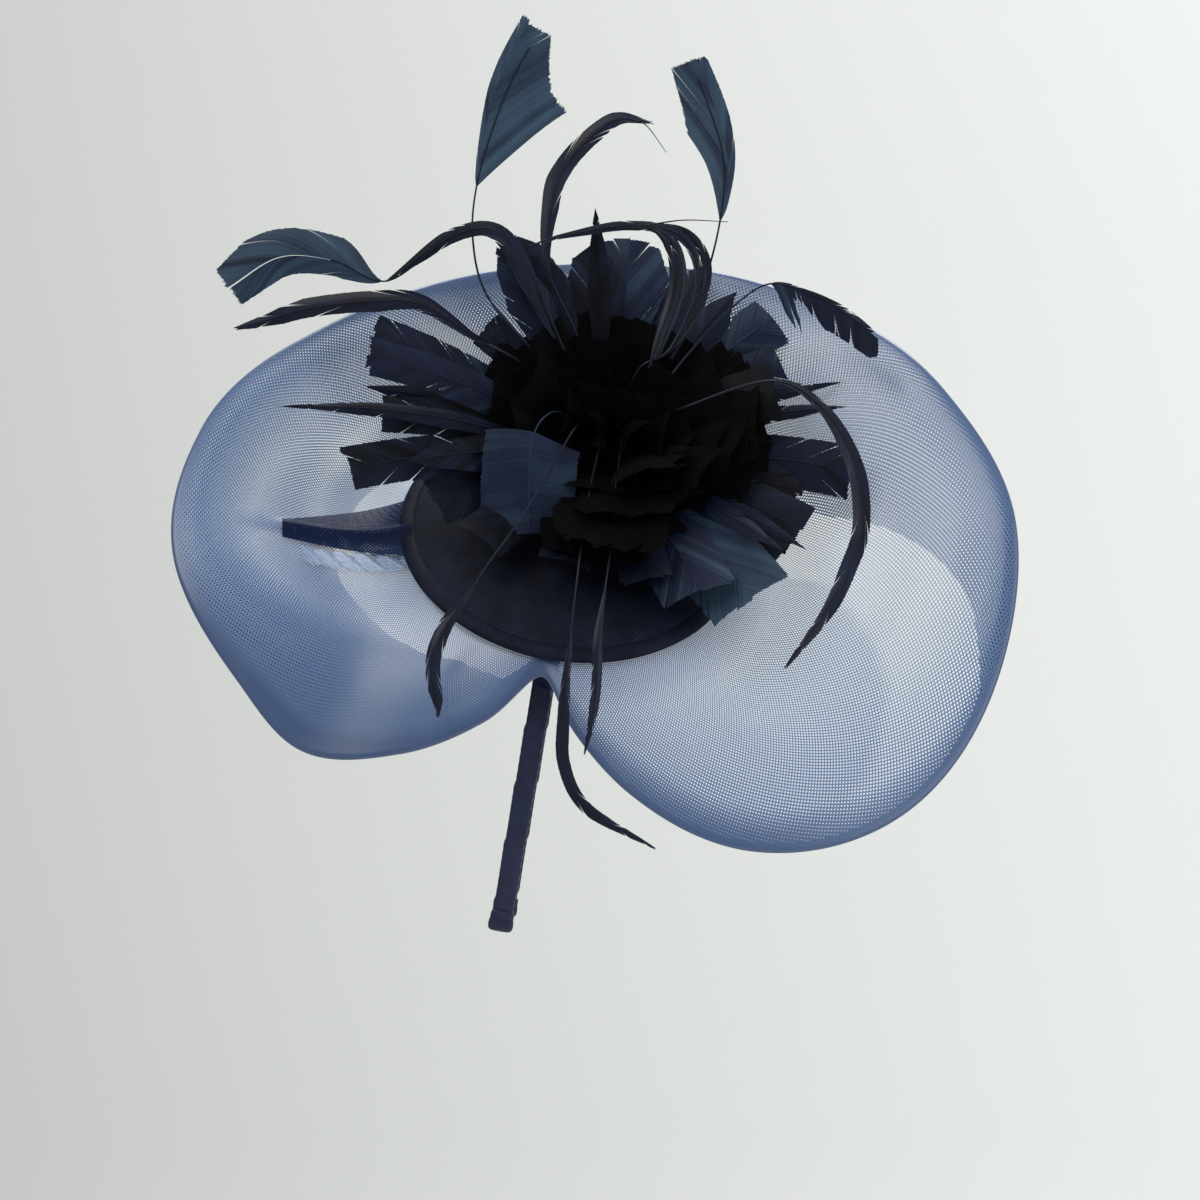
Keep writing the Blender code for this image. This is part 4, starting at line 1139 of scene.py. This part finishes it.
class HAT_OT_fittings(bpy.types.Operator):
    """Give the kept CAD solids their finishes: felt, thread, wire and the band's nylon core"""

    bl_idname = "hat.fittings"
    bl_label = "Hidden Fittings"

    def execute(self, context):
        felt = plain_material("black_wool_felt", "#12131a", "#20222c", 900.0, roughness=0.95, sheen=0.6)
        spun = {"roughness": 0.55, "sheen": 0.3}
        thread = plain_material("navy_polyester_thread", "#141829", "#232a45", 1500.0, **spun)
        wire = plain_material("cotton_covered_wire", "#15171f", "#262a38", 1200.0, roughness=0.8, sheen=0.2)
        nylon = plain_material("black_moulded_nylon", "#101116", "#181a20", 300.0, roughness=0.45, ior=1.53)
        looks = (
            (felt, ("felt_pad", "felt_patch", "base_lining", "feather_mount")),
            (thread, ("gathering_thread", "band_stitch_1", "band_stitch_2", "band_stitch_3")),
            (wire, ("edge_wire",)),
            (nylon, ("band_core_strip",)),
        )
        for look, names in looks:
            for name in names:
                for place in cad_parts[name].material_slots:
                    place.material = look
        return {"FINISHED"}


class HAT_OT_stage(bpy.types.Operator):
    """Make the pale sweep, the soft lights and the camera"""

    bl_idname = "hat.stage"
    bl_label = "Studio Stage"

    def execute(self, context):
        sizes = context.scene.hat_stage
        floor = make_sweep(paper_material(sizes.floor))
        soft_light("key_light", (-0.9, -1.5, 1.5), 1.6, sizes.key_power, "#fffaf2")
        soft_light("fill_light", (1.6, -1.2, 0.4), 1.6, sizes.key_power * 0.45, "#f1f5ff")
        soft_light("rim_light", (0.3, 0.9, 1.4), 1.2, sizes.key_power * 0.5, "#ffffff")
        soft_light("backdrop_light", (0.3, 0.7, 2.4), 1.2, sizes.key_power * 1.7, "#ffffff", (0.2, 2.8, 0))
        world = bpy.data.worlds.new("pale_room")
        world.use_nodes = True
        world.node_tree.nodes["Background"].inputs["Color"].default_value = linear("#e8eaee")
        world.node_tree.nodes["Background"].inputs["Strength"].default_value = 0.55
        context.scene.world = world
        context.scene.view_settings.view_transform = "Standard"
        lens = bpy.data.cameras.new("camera")
        lens.lens = 246
        lens.clip_end = 20
        camera = bpy.data.objects.new("camera", lens)
        camera.location = (0.0059, -2.45, -0.0362)
        camera.rotation_euler = (math.pi / 2, 0, 0)
        context.scene.collection.objects.link(camera)
        context.scene.camera = camera
        return {"FINISHED"}


# Stage


def make_sweep(look):
    """Floor that curves up into a backdrop: a straight run, a quarter circle and a wall, as one profile."""
    turn = np.linspace(0, math.pi / 2, 24)
    bend = 0.5
    back = 2.3
    low = CAD_BOX[0][2] - 0.75
    y = np.concatenate(([-4.0], back + bend * np.sin(turn), [back + bend]))
    z = np.concatenate(([low], low + bend * (1 - np.cos(turn)), [3.0]))
    x = np.array((-4.0, 4.0))
    points = np.stack(np.broadcast_arrays(x[None, :], y[:, None], z[:, None]), axis=-1)
    return mesh_object("studio_sweep", look, points, flip=True)


def paper_material(colour):
    """Seamless paper: matt, and darker towards the hat's back, where less of the room's light reaches it."""
    made, tree, shader = new_material("seamless_paper", roughness=0.95, specular=0.2)
    place = add(tree, "ShaderNodeTexCoord").outputs["Object"]
    along = add(tree, "ShaderNodeSeparateXYZ", {0: place}).outputs["X"]
    share = add(tree, "ShaderNodeMapRange", {"Value": along, "From Min": -0.4, "From Max": 0.5})
    shaded = tuple(0.8 * channel for channel in colour[:3]) + (1.0,)
    bright = tuple(min(1.15 * channel, 1.0) for channel in colour[:3]) + (1.0,)
    mixed = add(tree, "ShaderNodeValToRGB", {"Fac": share}, ((0.0, shaded), (1.0, bright)))
    tree.links.new(mixed.outputs[0], shader.inputs["Base Color"])
    return made


def soft_light(name, place, size, power, colour, target=(0, 0, 0)):
    """Square soft box that faces the hat, or another target."""
    lamp = bpy.data.lights.new(name, "AREA")
    lamp.size = size
    lamp.energy = power
    lamp.color = linear(colour)[:3]
    holder = bpy.data.objects.new(name, lamp)
    holder.location = place
    holder.rotation_euler = (Vector(target) - Vector(place)).to_track_quat("-Z", "Y").to_euler()
    bpy.context.scene.collection.objects.link(holder)


# Add-on


OPERATORS = (
    HAT_OT_brim,
    HAT_OT_pleat,
    HAT_OT_base,
    HAT_OT_band,
    HAT_OT_petals,
    HAT_OT_plumes,
    HAT_OT_heart,
    HAT_OT_fittings,
    HAT_OT_stage,
)
SETTINGS = {
    "hat_brim": BrimSettings,
    "hat_feathers": FeatherSettings,
    "hat_band": BandSettings,
    "hat_stage": StageSettings,
}


class HAT_PT_panel(bpy.types.Panel):
    """Lists the hat's pieces"""

    bl_idname = "HAT_PT_panel"
    bl_label = "Hat"
    bl_space_type = "VIEW_3D"
    bl_region_type = "UI"
    bl_category = "Hat"

    def draw(self, context):
        for operator in OPERATORS:
            self.layout.operator(operator.bl_idname)
        for name, kind in SETTINGS.items():
            box = self.layout.box()
            for key in kind.__annotations__:
                box.prop(getattr(context.scene, name), key)


def register():
    for made in (*SETTINGS.values(), *OPERATORS, HAT_PT_panel):
        bpy.utils.register_class(made)
    for name, kind in SETTINGS.items():
        setattr(bpy.types.Scene, name, bpy.props.PointerProperty(type=kind))


def unregister():
    for name in SETTINGS:
        delattr(bpy.types.Scene, name)
    for made in (HAT_PT_panel, *reversed(OPERATORS), *SETTINGS.values()):
        bpy.utils.unregister_class(made)


def main():
    register()
    bpy.ops.hat.brim()
    bpy.ops.hat.pleat()
    bpy.ops.hat.base()
    bpy.ops.hat.band()
    bpy.ops.hat.petals()
    bpy.ops.hat.plumes()
    bpy.ops.hat.heart()
    bpy.ops.hat.fittings()
    bpy.ops.hat.stage()


if __name__ == "__main__":
    main()
